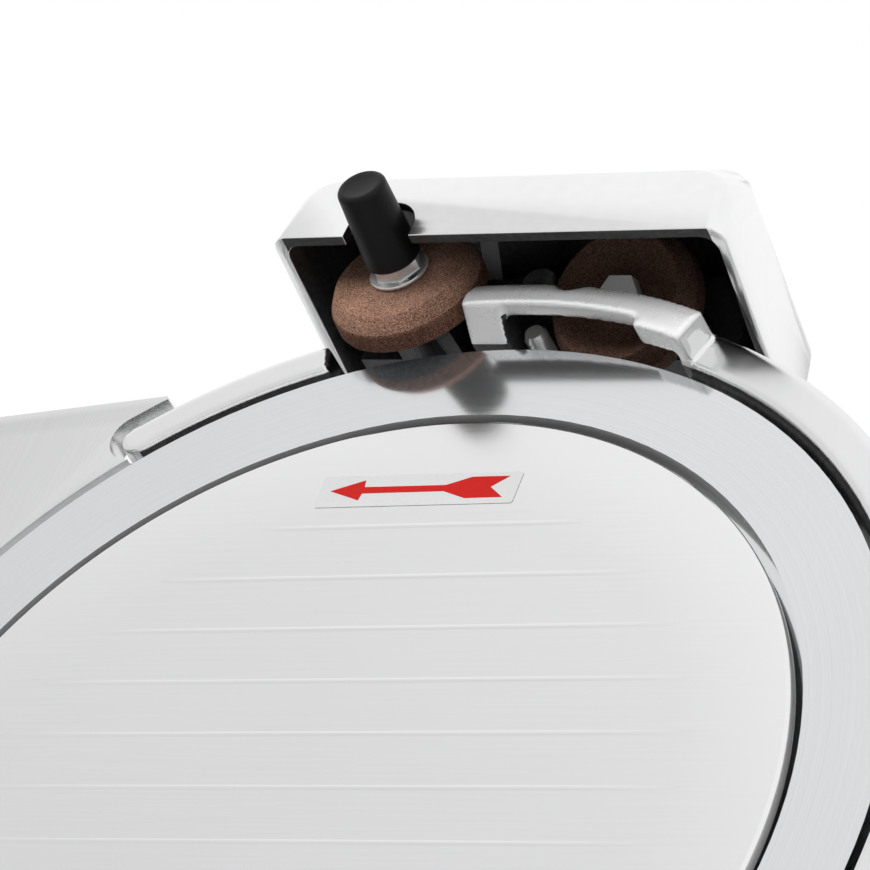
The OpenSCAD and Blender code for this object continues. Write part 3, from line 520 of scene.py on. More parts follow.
class Bench:
    """Ways to make a mesh and to set a finished piece in the model."""

    @staticmethod
    def settle(name: str, mesh: Mesh, finish: Finish, body: str,
               stands_for: Iterable[str] = ()) -> Piece:
        """Puts a finished mesh into the model as a piece.

        Args:
            name: the piece's name. mesh: its mesh, in place. finish: its finish.
            body: the body it rides on. stands_for: the CAD nodes that it replaces.

        Returns:
            The piece.
        """
        mesh.name = name
        if not mesh.materials:
            mesh.materials.append(finish.build())
        piece = placed(name, mesh)
        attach(piece, body)
        nodes = list(stands_for)
        if nodes:
            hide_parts(*nodes)
        log.info("%s: %d faces on %s", name, len(mesh.polygons), body)
        return piece

    @staticmethod
    def mesh_of(shape: Shape, matrix: Optional[Matrix] = None, smooth: float = 35) -> Mesh:
        """A mesh from a bmesh, with outward faces and smooth shading below an angle.

        Args:
            shape: the bmesh, which is freed. matrix: where it goes. smooth: the angle in degrees.

        Returns:
            The mesh.
        """
        if matrix is not None:
            bmesh.ops.transform(shape, matrix=matrix, verts=shape.verts)
        bmesh.ops.remove_doubles(shape, verts=shape.verts, dist=1e-6)
        bmesh.ops.recalc_face_normals(shape, faces=shape.faces)
        mesh = poured(shape, bpy.data.meshes.new("piece"))
        mesh.shade_smooth()
        mesh.set_sharp_from_angle(angle=math.radians(smooth))
        return mesh

    @staticmethod
    def lathe(profile: Profile, steps: int = 96) -> Shape:
        """A turned shape round the z axis.

        Args:
            profile: radius and height of each point, in millimetres. steps: faces round the axis.

        Returns:
            The shape, in metres.
        """
        shape = bmesh.new()
        rings: List[List[bmesh.types.BMVert]] = []
        for radius, height in profile:
            if radius < 1e-6:
                rings.append([shape.verts.new((0, 0, height * MM))])
                continue
            rings.append([shape.verts.new((radius * MM * math.cos(2 * math.pi * i / steps),
                                           radius * MM * math.sin(2 * math.pi * i / steps), height * MM))
                          for i in range(steps)])
        for low, high in zip(rings, rings[1:]):
            for i in range(steps):
                j = (i + 1) % steps
                corners = [low[i % len(low)], low[j % len(low)], high[j % len(high)], high[i % len(high)]]
                unique = list(dict.fromkeys(corners))
                if len(unique) > 2:
                    shape.faces.new(unique)
        return shape

    @staticmethod
    def slab(outline: Profile, low: float, high: float) -> Shape:
        """A flat shape with straight sides.

        Args:
            outline: its corners in millimetres. low, high: its faces along z in millimetres.

        Returns:
            The shape, in metres.
        """
        shape = bmesh.new()
        rings = [[shape.verts.new((x * MM, y * MM, z * MM)) for x, y in outline] for z in (low, high)]
        shape.faces.new(list(reversed(rings[0])))
        shape.faces.new(rings[1])
        count = len(outline)
        for i in range(count):
            j = (i + 1) % count
            shape.faces.new((rings[0][i], rings[0][j], rings[1][j], rings[1][i]))
        return shape

    @staticmethod
    def paint(piece: Piece, finishes: Iterable[Finish], home: Matrix,
              finish_of: Callable[[Vector, Vector], int]) -> None:
        """Gives faces of a piece further finishes.

        Args:
            piece: the piece. finishes: the finishes after its first.
            home: the turn from the model to the rule's frame.
            finish_of: picks a finish by a face's middle, in millimetres, and normal.
        """
        for finish in finishes:
            piece.data.materials.append(finish.build())
        turn = home.to_3x3()
        for face in piece.data.polygons:
            face.material_index = finish_of(home @ face.center / MM, turn @ face.normal)

    @staticmethod
    def corner(x: float, y: float, radius: float, start: float = 0) -> List[Tuple[float, float]]:
        """The points of a rounded corner.

        Args:
            x, y: the corner's centre. radius: its radius. start: the angle in degrees at which it begins.

        Returns:
            The points of a quarter turn.
        """
        turns = [math.radians(start) + a for a in QUARTER]
        return [(x + radius * math.cos(a), y + radius * math.sin(a)) for a in turns]

    @staticmethod
    def welded(node: str) -> Shape:
        """The shape of a CAD node with its doubled points joined."""
        shape = bmesh.new()
        shape.from_mesh(frame["nodes"][node].data)
        bmesh.ops.remove_doubles(shape, verts=shape.verts, dist=WELD)
        return shape

    @staticmethod
    def on_bench(shape: Shape) -> Piece:
        """Puts a shape, which is freed, into the scene as an object for modifiers."""
        return placed("worked", poured(shape, bpy.data.meshes.new("worked")))

    @staticmethod
    def stand_in(node: str, ending: str, mesh: Mesh, finish: Finish) -> Piece:
        """Settles a mesh that takes a node's place on the node's own body."""
        return Bench.settle(node + ending, mesh, finish, frame["nodes"][node]["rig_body"], [node])

    @staticmethod
    def rounded(node: str, finish: Finish, edge: float, angle: float = 32) -> Piece:
        """A copy of a solid with its sharp edges rounded, which takes the solid's place.

        Args:
            node: the CAD node. finish: its finish. edge: radius of the edges in millimetres, 0 to keep them.
            angle: turn in degrees from which an edge is sharp.

        Returns:
            The piece.
        """
        shape = Bench.welded(node)
        bmesh.ops.dissolve_limit(shape, angle_limit=math.radians(0.4), verts=shape.verts, edges=shape.edges,
                                 use_dissolve_boundaries=False)
        worked = Bench.on_bench(shape)
        worked.data.shade_smooth()
        if edge > 0:
            bevel = worked.modifiers.new("edge", "BEVEL")
            bevel.width = edge * MM
            bevel.segments = EDGE_STEPS
            bevel.limit_method = "ANGLE"
            bevel.angle_limit = math.radians(angle)
            bevel.harden_normals = True
            bevel.use_clamp_overlap = True
        result = Bench.evaluated(worked)
        if edge == 0:
            result.set_sharp_from_angle(angle=math.radians(angle))
        return Bench.stand_in(node, "_rounded", result, finish)

    @staticmethod
    def softened(node: str, finish: Finish, cell: float, rounds: int, seat: Matrix) -> Piece:
        """A copy of a casting with all its edges and inner corners softly rounded, which takes its place.

        Args:
            node: the CAD node. finish: its finish. cell: size in millimetres of the squares it is cut into.
            rounds: how often it is smoothed. seat: the frame that the squares follow.

        Returns:
            The piece.
        """
        shape = Bench.welded(node)
        bmesh.ops.transform(shape, matrix=seat.inverted(), verts=shape.verts)
        worked = Bench.on_bench(shape)
        cut = worked.modifiers.new("cut", "REMESH")
        cut.mode = "VOXEL"
        cut.voxel_size = cell * MM
        smooth = worked.modifiers.new("smooth", "SMOOTH")
        smooth.factor = 0.5
        smooth.iterations = rounds
        result = Bench.evaluated(worked)
        result.transform(seat)
        result.shade_smooth()
        return Bench.stand_in(node, "_softened", result, finish)

    @staticmethod
    def evaluated(worked: Piece) -> Mesh:
        """The mesh of an object with its modifiers, after which the object is removed.

        Args:
            worked: an object in the scene.

        Returns:
            The plain mesh.
        """
        graph = bpy.context.evaluated_depsgraph_get()
        mesh = bpy.data.meshes.new_from_object(worked.evaluated_get(graph), preserve_all_data_layers=True,
                                               depsgraph=graph)
        source = worked.data
        for modifier in list(worked.modifiers):
            worked.modifiers.remove(modifier)
        bpy.data.objects.remove(worked)
        if source.users == 0:
            bpy.data.meshes.remove(source)
        return mesh


class Nodes(Wires):
    """Builds Geometry Nodes trees and turns their result into a plain mesh."""

    def __init__(self, name: str, sizes: Dict[str, float]) -> None:
        """Starts a tree.

        Args:
            name: the tree's name. sizes: name and value of each named input; counts are whole numbers.
        """
        super().__init__(bpy.data.node_groups.new(name, "GeometryNodeTree"))
        self.tree.interface.new_socket("Geometry", in_out="OUTPUT", socket_type="NodeSocketGeometry")
        self.identifiers: Dict[str, Tuple[str, float]] = {}
        for label, value in sizes.items():
            kind = "NodeSocketInt" if isinstance(value, int) else "NodeSocketFloat"
            socket = self.tree.interface.new_socket(label, in_out="INPUT", socket_type=kind)
            self.identifiers[label] = (socket.identifier, value)
        self.start = self.tree.nodes.new("NodeGroupInput")
        self.end = self.tree.nodes.new("NodeGroupOutput")

    def size(self, label: str) -> bpy.types.NodeSocket:
        """The socket of a named input."""
        return self.start.outputs[label]

    def finish(self, instances: bpy.types.NodeSocket, finish: Finish, matrix: Matrix) -> Mesh:
        """Realizes the instances, sets the material and gives the plain mesh.

        Args:
            instances: the socket with the geometry. finish: the finish. matrix: where the result goes.

        Returns:
            The mesh, in the model's frame.
        """
        realize = self.add("GeometryNodeRealizeInstances", {0: instances})
        paint = self.add("GeometryNodeSetMaterial", {0: realize.outputs[0], "Material": finish.build()})
        self.tree.links.new(paint.outputs[0], self.end.inputs[0])
        holder = Bench.on_bench(bmesh.new())
        modifier = holder.modifiers.new("repeat", "NODES")
        modifier.node_group = self.tree
        for identifier, value in self.identifiers.values():
            modifier[identifier] = value
        mesh = Bench.evaluated(holder)
        mesh.transform(matrix)
        mesh.shade_smooth()
        mesh.set_sharp_from_angle(angle=math.radians(35))
        return mesh


@dataclass
class BladeHead:
    """The blade, its cover with the ribs and the turning-direction label, and the guard ring."""

    cover_r: float = 125.5
    cover_face: float = 1.0
    cover_back: float = -3.0
    cover_turn: float = 2.8
    rim_roll: float = 1.2
    rim_chamfer: float = 0.6
    boss_r: float = 12.0
    boss_back: float = -5.4
    rib_pitch: float = 16.5
    rib_width: float = 1.7
    rib_height: float = 0.055
    rib_reach: float = 102.5
    rib_count: int = 12
    label_u: float = -5.0
    label_v: float = 102.5
    label_w: float = 57.5
    label_h: float = 10.2
    film_thick: float = 0.12
    label_corner: float = 0.8
    arrow_thick: float = 0.05
    ring_cell: float = 0.7
    ring_rounds: int = 6
    bore_r: float = 153.4
    left_bore_r: float = 152.4
    bore_front: float = 0.3
    step_r: float = 128.2
    bridge_from: float = 70.0
    bridge_to: float = 97.0
    leg_side: float = -4.5
    leg_near: float = -0.36
    leg_far: float = 1.3
    leg_top: float = 7.2
    behind_from: float = 94.0
    behind_to: float = 110.0
    behind_n: float = -0.5
    beam_back: float = 5.6
    beam_r: float = 155.6
    bevel_r: float = 160.2
    bevel_from: float = 7.5
    bevel_drop: float = 0.85
    bevel_reach: float = 0.75
    bevel_fade: float = 9.0

    def build(self) -> None:
        """Makes every piece of the blade head."""
        self.blade()
        self.cover()
        self.ribs()
        self.label()
        self.ring()

    def turned(self) -> Matrix:
        """The blade's frame turned as the cover is."""
        return BLADE @ Matrix.Rotation(math.radians(self.cover_turn), 4, "Z")

    def ring(self) -> None:
        """Softens the cast ring, with its arcs polished, its bridge blasted and its hidden faces painted
        near-black as shade.
        """
        ring = Bench.softened("ring_guard", Finishes.blasted_cast, self.ring_cell, self.ring_rounds, BLADE)
        ring.data.materials.append(Finishes.ring_cast.build())
        ring.data.materials.append(Finishes.shade_black_cast.build())
        shape = bmesh.new()
        shape.from_mesh(ring.data)
        across = BLADE.to_3x3() @ Vector((-math.sin(math.radians(self.bridge_from)),
                                          math.cos(math.radians(self.bridge_from)), 0))
        bmesh.ops.bisect_plane(shape, geom=[*shape.verts, *shape.edges, *shape.faces],
                               plane_co=BLADE.translation, plane_no=across)
        home = BLADE.inverted()
        for vert in shape.verts:
            vert.co = BLADE @ (self.bevelled(home @ vert.co / MM) * MM)
        for face in shape.faces:
            face.material_index = self.ring_face(home @ face.calc_center_median() / MM)
        poured(shape, ring.data)

    def bevelled(self, place: Vector) -> Vector:
        """Leans the outer edge of the bridge back into a bevel.

        Args:
            place: a point of the ring in the blade's frame, in millimetres.

        Returns:
            The point's new place.
        """
        radius = math.hypot(place.x, place.y)
        angle = math.degrees(math.atan2(place.y, place.x))
        past = (radius - self.bevel_r) * max(0, min(1, (angle - self.bridge_from) / self.bevel_fade))
        if past <= 0 or place.z < self.bevel_from or angle > self.bridge_to:
            return place
        out = 1 + self.bevel_reach * past / radius
        return Vector((place.x * out, place.y * out, place.z - self.bevel_drop * past))

    def ring_face(self, place: Vector) -> int:
        """Picks the finish of one face of the ring.

        Args:
            place: the face's middle in the blade's frame, in millimetres.

        Returns:
            0 for blasted, 1 for polished, 2 for near-black painted shade.
        """
        angle = math.degrees(math.atan2(place.y, place.x))
        radius = math.hypot(place.x, place.y)
        behind = self.behind_from < angle < self.behind_to and place.z < self.behind_n
        bore = self.left_bore_r if angle > self.bridge_to else self.bore_r
        under = place.z < self.beam_back or place.y < self.beam_r
        beside = self.leg_near < place.x - self.leg_side < self.leg_far
        inside = beside and place.z < self.leg_top and under
        # faces behind the blade, the leg's inner faces and the bore get near-black painted shade
        if behind or inside or (place.z < self.bore_front and radius < bore):
            return 2
        return 0 if self.bridge_from < angle < self.bridge_to else 1

    def blade(self) -> None:
        """Grinds the blade, with a paler wall round the step that the cover sits in, its pale matt colour
        painted light on the steel.
        """
        blade = Bench.rounded("knife_blade", Finishes.mirror_blade, 0, angle=12)

        def finish_of(place: Vector, normal: Vector) -> int:
            """1 for the step's wall with its painted light and 0 for the rest."""
            radius = math.hypot(place.x, place.y)
            inward = -(normal.x * place.x + normal.y * place.y) / max(radius, 1)
            return int(inward > 0.7 and abs(radius - self.step_r) < 0.4)

        Bench.paint(blade, [Finishes.painted_light_step_wall], BLADE.inverted(), finish_of)

    def cover(self) -> None:
        """Turns the flat cover with a softly rolled rim and a boss behind it."""
        edge, face, back, roll = self.cover_r, self.cover_face, self.cover_back, self.rim_roll
        profile = [(0, self.boss_back), (self.boss_r, self.boss_back), (self.boss_r, back),
                   (edge - self.rim_chamfer, back), (edge, back + self.rim_chamfer),
                   *Bench.corner(edge - roll, face - roll, roll), (edge - 30, face), (0, face)]
        mesh = Bench.mesh_of(Bench.lathe(profile, 192), self.turned())
        Bench.settle("blade_cover_disc", mesh, Finishes.turned_cover, "frame", ["blade_cover"])

    def ribs(self) -> None:
        """Lays the low ribs across the cover with a tree that shapes one rib and repeats it."""
        nodes = Nodes("cover_ribs", {"Count": self.rib_count, "Pitch": self.rib_pitch * MM,
                                     "Width": self.rib_width * MM, "Height": self.rib_height * MM,
                                     "Reach": self.rib_reach * MM})
        grid = nodes.add("GeometryNodeMeshGrid", {"Size X": 2.0, "Size Y": 1.0, "Vertices X": 41,
                                                  "Vertices Y": 7})
        place = nodes.add("GeometryNodeInputPosition", {})
        parts = nodes.add("ShaderNodeSeparateXYZ", {0: place.outputs[0]})
        across = nodes.math("MULTIPLY", parts.outputs[1], 2.0)
        crown = nodes.math("SUBTRACT", 1.0, nodes.math("MULTIPLY", across, across))
        ends = nodes.math("POWER", nodes.math("ABSOLUTE", parts.outputs[0], 0.0), 4.0)
        lift = nodes.math("MULTIPLY", crown, nodes.math("SUBTRACT", 1.0, ends))
        rise = nodes.add("ShaderNodeCombineXYZ", {2: lift})
        rib = nodes.add("GeometryNodeSetPosition", {0: grid.outputs[0], "Offset": rise.outputs[0]})
        first = nodes.math("MULTIPLY", nodes.math("SUBTRACT", nodes.size("Count"), 1.0),
                           nodes.math("MULTIPLY", nodes.size("Pitch"), -0.5))
        line = nodes.add("GeometryNodeMeshLine", {
            "Count": nodes.size("Count"),
            "Start Location": nodes.add("ShaderNodeCombineXYZ", {1: first}).outputs[0],
            "Offset": nodes.add("ShaderNodeCombineXYZ", {1: nodes.size("Pitch")}).outputs[0]})
        where = nodes.add("ShaderNodeSeparateXYZ", {0: nodes.add("GeometryNodeInputPosition", {}).outputs[0]})
        square = nodes.math("SUBTRACT", nodes.math("MULTIPLY", nodes.size("Reach"), nodes.size("Reach")),
                            nodes.math("MULTIPLY", where.outputs[1], where.outputs[1]))
        chord = nodes.math("SQRT", nodes.math("MAXIMUM", square, 0.0001), 0.0)
        scale = nodes.add("ShaderNodeCombineXYZ", {0: chord, 1: nodes.size("Width"), 2: nodes.size("Height")})
        copies = nodes.add("GeometryNodeInstanceOnPoints", {"Points": line.outputs[0],
                                                            "Instance": rib.outputs[0],
                                                            "Scale": scale.outputs[0]})
        lifted = shifted(self.turned(), 0, 0, self.cover_face - 0.005)
        mesh = nodes.finish(copies.outputs[0], Finishes.turned_cover, lifted)
        Bench.settle("cover_rib_set", mesh, Finishes.turned_cover, "frame")

    def label(self) -> None:
        """Lays the film of the direction label and its plain arrow."""
        radius = self.label_corner
        half_w, half_h = self.label_w / 2 - radius, self.label_h / 2 - radius
        outline = [point for sx, sy, start in ((1, 1, 0), (-1, 1, 90), (-1, -1, 180), (1, -1, 270))
                   for point in Bench.corner(sx * half_w, sy * half_h, radius, start)]
        seat = shifted(self.turned(), self.label_u, self.label_v, self.cover_face)
        film = Bench.mesh_of(Bench.slab(outline, 0, self.film_thick), seat)
        Bench.settle("direction_label_film", film, Finishes.film, "frame", ["direction_label"])
        upper = [(-26.7, 0.0), (-17.4, 3.3), (-17.0, 1.05), (6.6, 1.0), (13.5, 3.5), (24.3, 3.45),
                 (19.8, 0.0)]
        arrow = [(x + 1, 0.3 + y) for x, y in upper] + [(x + 1, 0.3 - y) for x, y in reversed(upper[1:-1])]
        printed = Bench.mesh_of(Bench.slab(arrow, self.film_thick, self.film_thick + self.arrow_thick), seat)
        Bench.settle("direction_arrow", printed, Finishes.red_print, "frame")


@dataclass
class Sharpener:
    """The hood with the two stones, their spindles and push caps."""

    cap_r: float = 7.4
    cap_tip_r: float = 6.6
    cap_roll: float = 1.5
    cap_socket: float = 10.0
    front_cap_l: float = 24.0
    rear_cap_l: float = 22.0
    front_cap_z: float = 14.6
    rear_cap_z: float = -55.0
    spindle_r: float = 5.02
    hood_wall: float = 3.0
    rim_left: float = -65.0
    rim_right: float = 60.0
    gleam_left: float = -32.0
    gleam_right: float = -26.6
    gleam_lean: float = 0.285
    stone_r: float = 20.7
    stone_t: float = 9.6
    boss_u: float = -12.8
    boss_v: float = 182.2
    boss_n: float = -15.0
    boss_r: float = 4.9
    boss_h: float = 7.0
    dome_h: float = 2.4
    boss_foot: float = -0.5
    stop_u: float = -0.5
    stop_v: float = 157.8
    stop_n: float = -14.0
    stop_r: float = 3.3
    stop_pitch: float = 1.5
    stop_ridges: int = 8
    thread_depth: float = 0.85

    def build(self) -> None:
        """Makes every piece of the sharpener."""
        self.stop_screw()
        self.rough_inside(Bench.rounded("sharpener_hood", Finishes.polished_cast, 1.2, angle=24))
        # the bracket inside the hood is painted near-black as shade
        dress("spindle_bracket", Finishes.shade_black_cast)
        dress("sharpener_post", Finishes.dark_steel)
        self.stones()
        self.boss()
        self.spindles()
        self.cap("front_push_cap", joint_frame("front_spin"), self.front_cap_z, self.front_cap_l,
                 "front_plunger")
        behind = shifted(joint_frame("rear_spin"), 0, 0, self.rear_cap_z)
        self.cap("rear_push_cap", behind @ Matrix.Rotation(math.pi, 4, "X"), 0, self.rear_cap_l,
                 "rear_plunger")
        Bench.rounded("clamp_knob", Finishes.black_moulding, 0.8)

    def rough_inside(self, hood: Piece) -> None:
        """Leaves the hood's inner walls as cast and darkened as painted shade, with one painted highlight
        streak, and the front of its rim painted dark as shade.

        Args:
            hood: the finished hood.
        """
        shell = bmesh.new()
        for point in hood.data.vertices:
            shell.verts.new(point.co)
        bmesh.ops.convex_hull(shell, input=shell.verts)
        outside = BVHTree.FromBMesh(shell)
        shell.free()
        for finish in (Finishes.unpolished_shaded_cast, Finishes.shade_black_cast, Finishes.painted_gleam_cast):
            hood.data.materials.append(finish.build())
        turn = BLADE.to_3x3()
        upward = turn @ Vector((0, 1, 0))
        shape = bmesh.new()
        shape.from_mesh(hood.data)
        for side, lean in ((self.rim_left, 0), (self.rim_right, 0), (self.gleam_left, self.gleam_lean),
                           (self.gleam_right, self.gleam_lean)):
            wall = [face for face in shape.faces if face.normal.dot(upward) < -0.85]
            around = {part for face in wall for part in (*face.edges, *face.verts)}
            bmesh.ops.bisect_plane(shape, geom=[*wall, *around], plane_co=at_blade(side, 0, 0),
                                   plane_no=turn @ Vector((1, 0, -lean)))
        home = BLADE.inverted()
        for face in shape.faces:
            centre = face.calc_center_median()
            place = home @ centre / MM
            downward = face.normal.dot(upward) < -0.85
            # inner faces take the unpolished cast darkened as painted shade
            if outside.find_nearest(centre)[3] > 0.75 * self.hood_wall * MM:
                # a leaning band of the ceiling takes the painted reflection streak
                gleams = downward and self.gleam_left < place.x - self.gleam_lean * place.z < self.gleam_right
                face.material_index = 3 if gleams else 1
            # the rim's downward front faces get near-black painted shade
            elif downward and self.rim_left < place.x < self.rim_right:
                face.material_index = 2
        poured(shape, hood.data)

    def spindles(self) -> None:
        """Rounds the spindles: bright washer and nut before the stone, dark rod and collar behind it as
        painted shade, and a painted highlight on the rear nut's end.
        """
        for node, joint, bright_from in (("front_spindle", "front_spin", self.stone_t - 0.5),
                                         ("rear_spindle", "rear_spin", -4.8)):
            def finish_of(place: Vector, normal: Vector) -> int:
                """1 behind the stone in painted shade, 2 for the painted highlight on the end of the rear nut
                and 0 for the rest.
                """
                if place.z < bright_from:
                    return 1
                return 2 if node == "rear_spindle" and normal.z > 0.5 else 0

            spindle = Bench.rounded(node, Finishes.plated, 0.35)
            Bench.paint(spindle, [Finishes.dark_steel, Finishes.painted_highlight_end], joint_frame(joint).inverted(),
                        finish_of)

    def stones(self) -> None:
        """Turns the two stones: the front one flat, the rear one dished round its nut."""
        bore, edge, thick = self.spindle_r, self.stone_r, self.stone_t
        back = [(bore, 0), (edge - 0.6, 0), (edge - 0.2, 0.15), (edge, 0.6), (edge, thick - 4.7)]
        shoulder = [(edge - 0.3, thick - 4.1), (edge - 2.3, thick - 0.6), (edge - 3.1, thick)]
        flat = [*back, *shoulder, (bore + 4, thick), (bore, thick), (bore, 0)]
        dish = [*back, *shoulder, (17.4, thick), (16.8, thick - 0.25), (11.6, thick - 3.9),
                (9.6, thick - 4.3), (bore, thick - 4.4), (bore, 0)]
        # the rear stone takes the darker grit copy as painted shade under the hood
        for node, body, joint, shift, profile, finish in (
                ("front_stone", "front_wheel", "front_spin", 0, flat, Finishes.grit_stone),
                ("rear_stone", "rear_wheel", "rear_spin", -thick, dish, Finishes.shade_dark_stone)):
            seat = shifted(joint_frame(joint), 0, 0, shift)
            mesh = Bench.mesh_of(Bench.lathe(profile, 120), seat, 24)
            stone = Bench.settle(node + "_turned", mesh, finish, body, [node])
            if node == "front_stone":
                self.dust_and_shade_faces(stone, joint_frame(joint).inverted())

    def dust_and_shade_faces(self, stone: Piece, home: Matrix) -> None:
        """Darkens the side of the front stone as painted shade and leaves steel dust on the face that grinds.

        Args:
            stone: the finished stone. home: the turn from the model to the stone's frame.
        """
        def finish_of(place: Vector, normal: Vector) -> int:
            """1 for the grinding face, 2 for the side in painted shade and 0 for the rest."""
            return 1 if place.z < 0.1 else 2 if place.z < self.stone_t - 4.2 else 0

        Bench.paint(stone, [Finishes.ground_stone, Finishes.shade_dark_side_stone], home, finish_of)

    def boss(self) -> None:
        """Turns the domed boss on the bracket between the stones."""
        dome = [(self.boss_r * math.cos(a), self.boss_h - self.dome_h + self.dome_h * math.sin(a))
                for a in (math.radians(10 * i) for i in range(9))]
        profile = [(0, self.boss_foot), (self.boss_r + 0.8, self.boss_foot), (self.boss_r + 0.2, 0.6), *dome,
                   (0, self.boss_h)]
        seat = shifted(BLADE, self.boss_u, self.boss_v, self.boss_n)
        mesh = Bench.mesh_of(Bench.lathe(profile, 48), seat)
        # the boss inside the hood takes the cast colour darkened as painted shade
        Bench.settle("bracket_boss", mesh, Finishes.unpolished_shaded_cast, "sharpener")

    def stop_screw(self) -> None:
        """Threads the screw that stops the sharpener, with a tree that repeats one ridge."""
        nodes = Nodes("screw_thread", {"Count": self.stop_ridges, "Pitch": self.stop_pitch * MM,
                                       "Crest": self.stop_r * MM,
                                       "Root": (self.stop_r - self.thread_depth) * MM})
        ridge = nodes.add("GeometryNodeMeshCone", {"Vertices": 32, "Radius Top": nodes.size("Root"),
                                                   "Radius Bottom": nodes.size("Crest"),
                                                   "Depth": nodes.size("Pitch")})
        step = nodes.add("ShaderNodeCombineXYZ", {2: nodes.size("Pitch")})
        line = nodes.add("GeometryNodeMeshLine", {"Count": nodes.size("Count"), "Offset": step.outputs[0]})
        copies = nodes.add("GeometryNodeInstanceOnPoints", {"Points": line.outputs[0],
                                                            "Instance": ridge.outputs[0]})
        seat = shifted(BLADE, self.stop_u, self.stop_v, self.stop_n)
        mesh = nodes.finish(copies.outputs[0], Finishes.plated, seat)
        Bench.settle("stop_screw_thread", mesh, Finishes.plated, "sharpener")

    def cap(self, node: str, seat: Matrix, start: float, length: float, body: str) -> None:
        """Turns one push cap with a rounded tip and a slightly hollow end.

        Args:
            node: the CAD node it stands for. seat: the stone's frame.
            start: where the cap begins along the axis. length: its length. body: the body it rides on.
        """
        tip, roll, end = self.cap_tip_r, self.cap_roll, start + length
        profile = [(0, end - self.cap_socket), (self.spindle_r, end - self.cap_socket),
                   (self.spindle_r, start), (self.cap_r - 0.5, start), (self.cap_r, start + 0.5),
                   *Bench.corner(tip - roll, end - roll, roll), (tip - 2.4, end - 0.25), (0, end - 0.45)]
        mesh = Bench.mesh_of(Bench.lathe(profile, 64), seat)
        Bench.settle(node + "_turned", mesh, Finishes.black_moulding, body, [node])


@dataclass
class Stand:
    """The base, the head, the drive and the switch."""

    mark_thick: float = 0.15
    ring_in: float = 3.4
    ring_out: float = 4.6
    bar_half: float = 4.4
    bar_side: float = 0.6

    def build(self) -> None:
        """Makes every piece of the stand."""
        for node, finish, edge in (
                ("base_housing", Finishes.satin_cast, 1.0), ("head_casting", Finishes.satin_cast, 1.2),
                ("belt_cover", Finishes.satin_cast, 1.0), ("gauge_guide", Finishes.satin_cast, 1.5),
                ("motor_case", Finishes.coated_sheet, 0.4), ("rubber_feet", Finishes.black_rubber, 0.8),
                ("cord_gland", Finishes.black_moulding, 0.6),
                ("slice_deflector", Finishes.brushed_plate, 0.4),
                ("cover_knob", Finishes.black_moulding, 0.8), ("switch_panel", Finishes.black_moulding, 0.8),
                ("on_button", Finishes.green_moulding, 0.9), ("off_button", Finishes.red_moulding, 0.9)):
            Bench.rounded(node, finish, edge)
        dress("bottom_plate", Finishes.coated_sheet)
        dress("pilot_lens", Finishes.lens)
        dress("foot_screws case_screws blade_screws gauge_screws run_capacitor", Finishes.plated)
        dress("blade_hub driven_pulley blade_bearings cover_tie_rod motor_shaft drive_pulley carriage_rail",
              Finishes.machined)
        dress("motor_stator", Finishes.copper)
        dress("drive_belt", Finishes.black_rubber)
        dress("motor_fan switch_block", Finishes.black_moulding)
        self.button_marks()

    def button_marks(self) -> None:
        """Prints a bar on the start button and a ring on the stop button."""
        for node, body, ring in (("on_button", "on_key", False), ("off_button", "off_key", True)):
            low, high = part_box(node)
            middle = (low + high) / 2
            seat = Matrix.Translation((low.x, middle.y, middle.z)) @ Matrix.Rotation(-math.pi / 2, 4, "Y")
            if ring:
                inner, outer, top = self.ring_in, self.ring_out, self.mark_thick
                shape = Bench.lathe([(inner, 0), (outer, 0), (outer, top), (inner, top), (inner, 0)], 48)
            else:
                long, side = self.bar_half, self.bar_side
                bar = [(-long, -side), (long, -side), (long, side), (-long, side)]
                shape = Bench.slab(bar, 0, self.mark_thick)
            Bench.settle(node + "_mark", Bench.mesh_of(shape, seat), Finishes.white_print, body)


@dataclass
class Gauge:
    """The gauge plate, its bar and the thickness knob."""

    tick_count: int = 30
    tick_length: float = 4.0
    tick_width: float = 0.7
    tick_radius: float = 29.2
    tick_thick: float = 0.12
    flange_in: float = 8.0

    def build(self) -> None:
        """Makes every piece of the gauge."""
        Bench.rounded("gauge_plate", Finishes.brushed_plate, 0.8)
        Bench.rounded("gauge_bar", Finishes.satin_cast, 0.8)
        Bench.rounded("thickness_knob", Finishes.black_moulding, 0.7)
        dress("cam_roller knob_spindle scroll_cam", Finishes.machined)
        self.ticks()

    def ticks(self) -> None:
        """Prints the ring of ticks on the knob's flange with a tree that repeats one tick."""
        nodes = Nodes("dial_ticks", {"Count": self.tick_count, "Radius": self.tick_radius * MM,
                                     "Length": self.tick_length * MM, "Width": self.tick_width * MM,
                                     "Thickness": self.tick_thick * MM})
        shape = nodes.add("ShaderNodeCombineXYZ", {0: nodes.size("Length"), 1: nodes.size("Width"),
                                                   2: nodes.size("Thickness")})
        tick = nodes.add("GeometryNodeMeshCube", {"Size": shape.outputs[0]})
        ring = nodes.add("GeometryNodeMeshCircle", {"Vertices": nodes.size("Count"),
                                                    "Radius": nodes.size("Radius")})
        turn = nodes.math("DIVIDE", 2 * math.pi, nodes.size("Count"))
        angle = nodes.math("MULTIPLY", nodes.add("GeometryNodeInputIndex", {}).outputs[0], turn)
        spin = nodes.add("ShaderNodeCombineXYZ", {2: angle})
        copies = nodes.add("GeometryNodeInstanceOnPoints", {"Points": ring.outputs[0],
                                                            "Instance": tick.outputs[0],
                                                            "Rotation": spin.outputs[0]})
        low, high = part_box("thickness_knob")
        middle = (low + high) / 2
        flange = high.x - self.flange_in * MM
        seat = Matrix.Translation((flange, middle.y, middle.z)) @ Matrix.Rotation(-math.pi / 2, 4, "Y")
        mesh = nodes.finish(copies.outputs[0], Finishes.white_print, seat)
        Bench.settle("dial_tick_ring", mesh, Finishes.white_print, "thickness_dial")


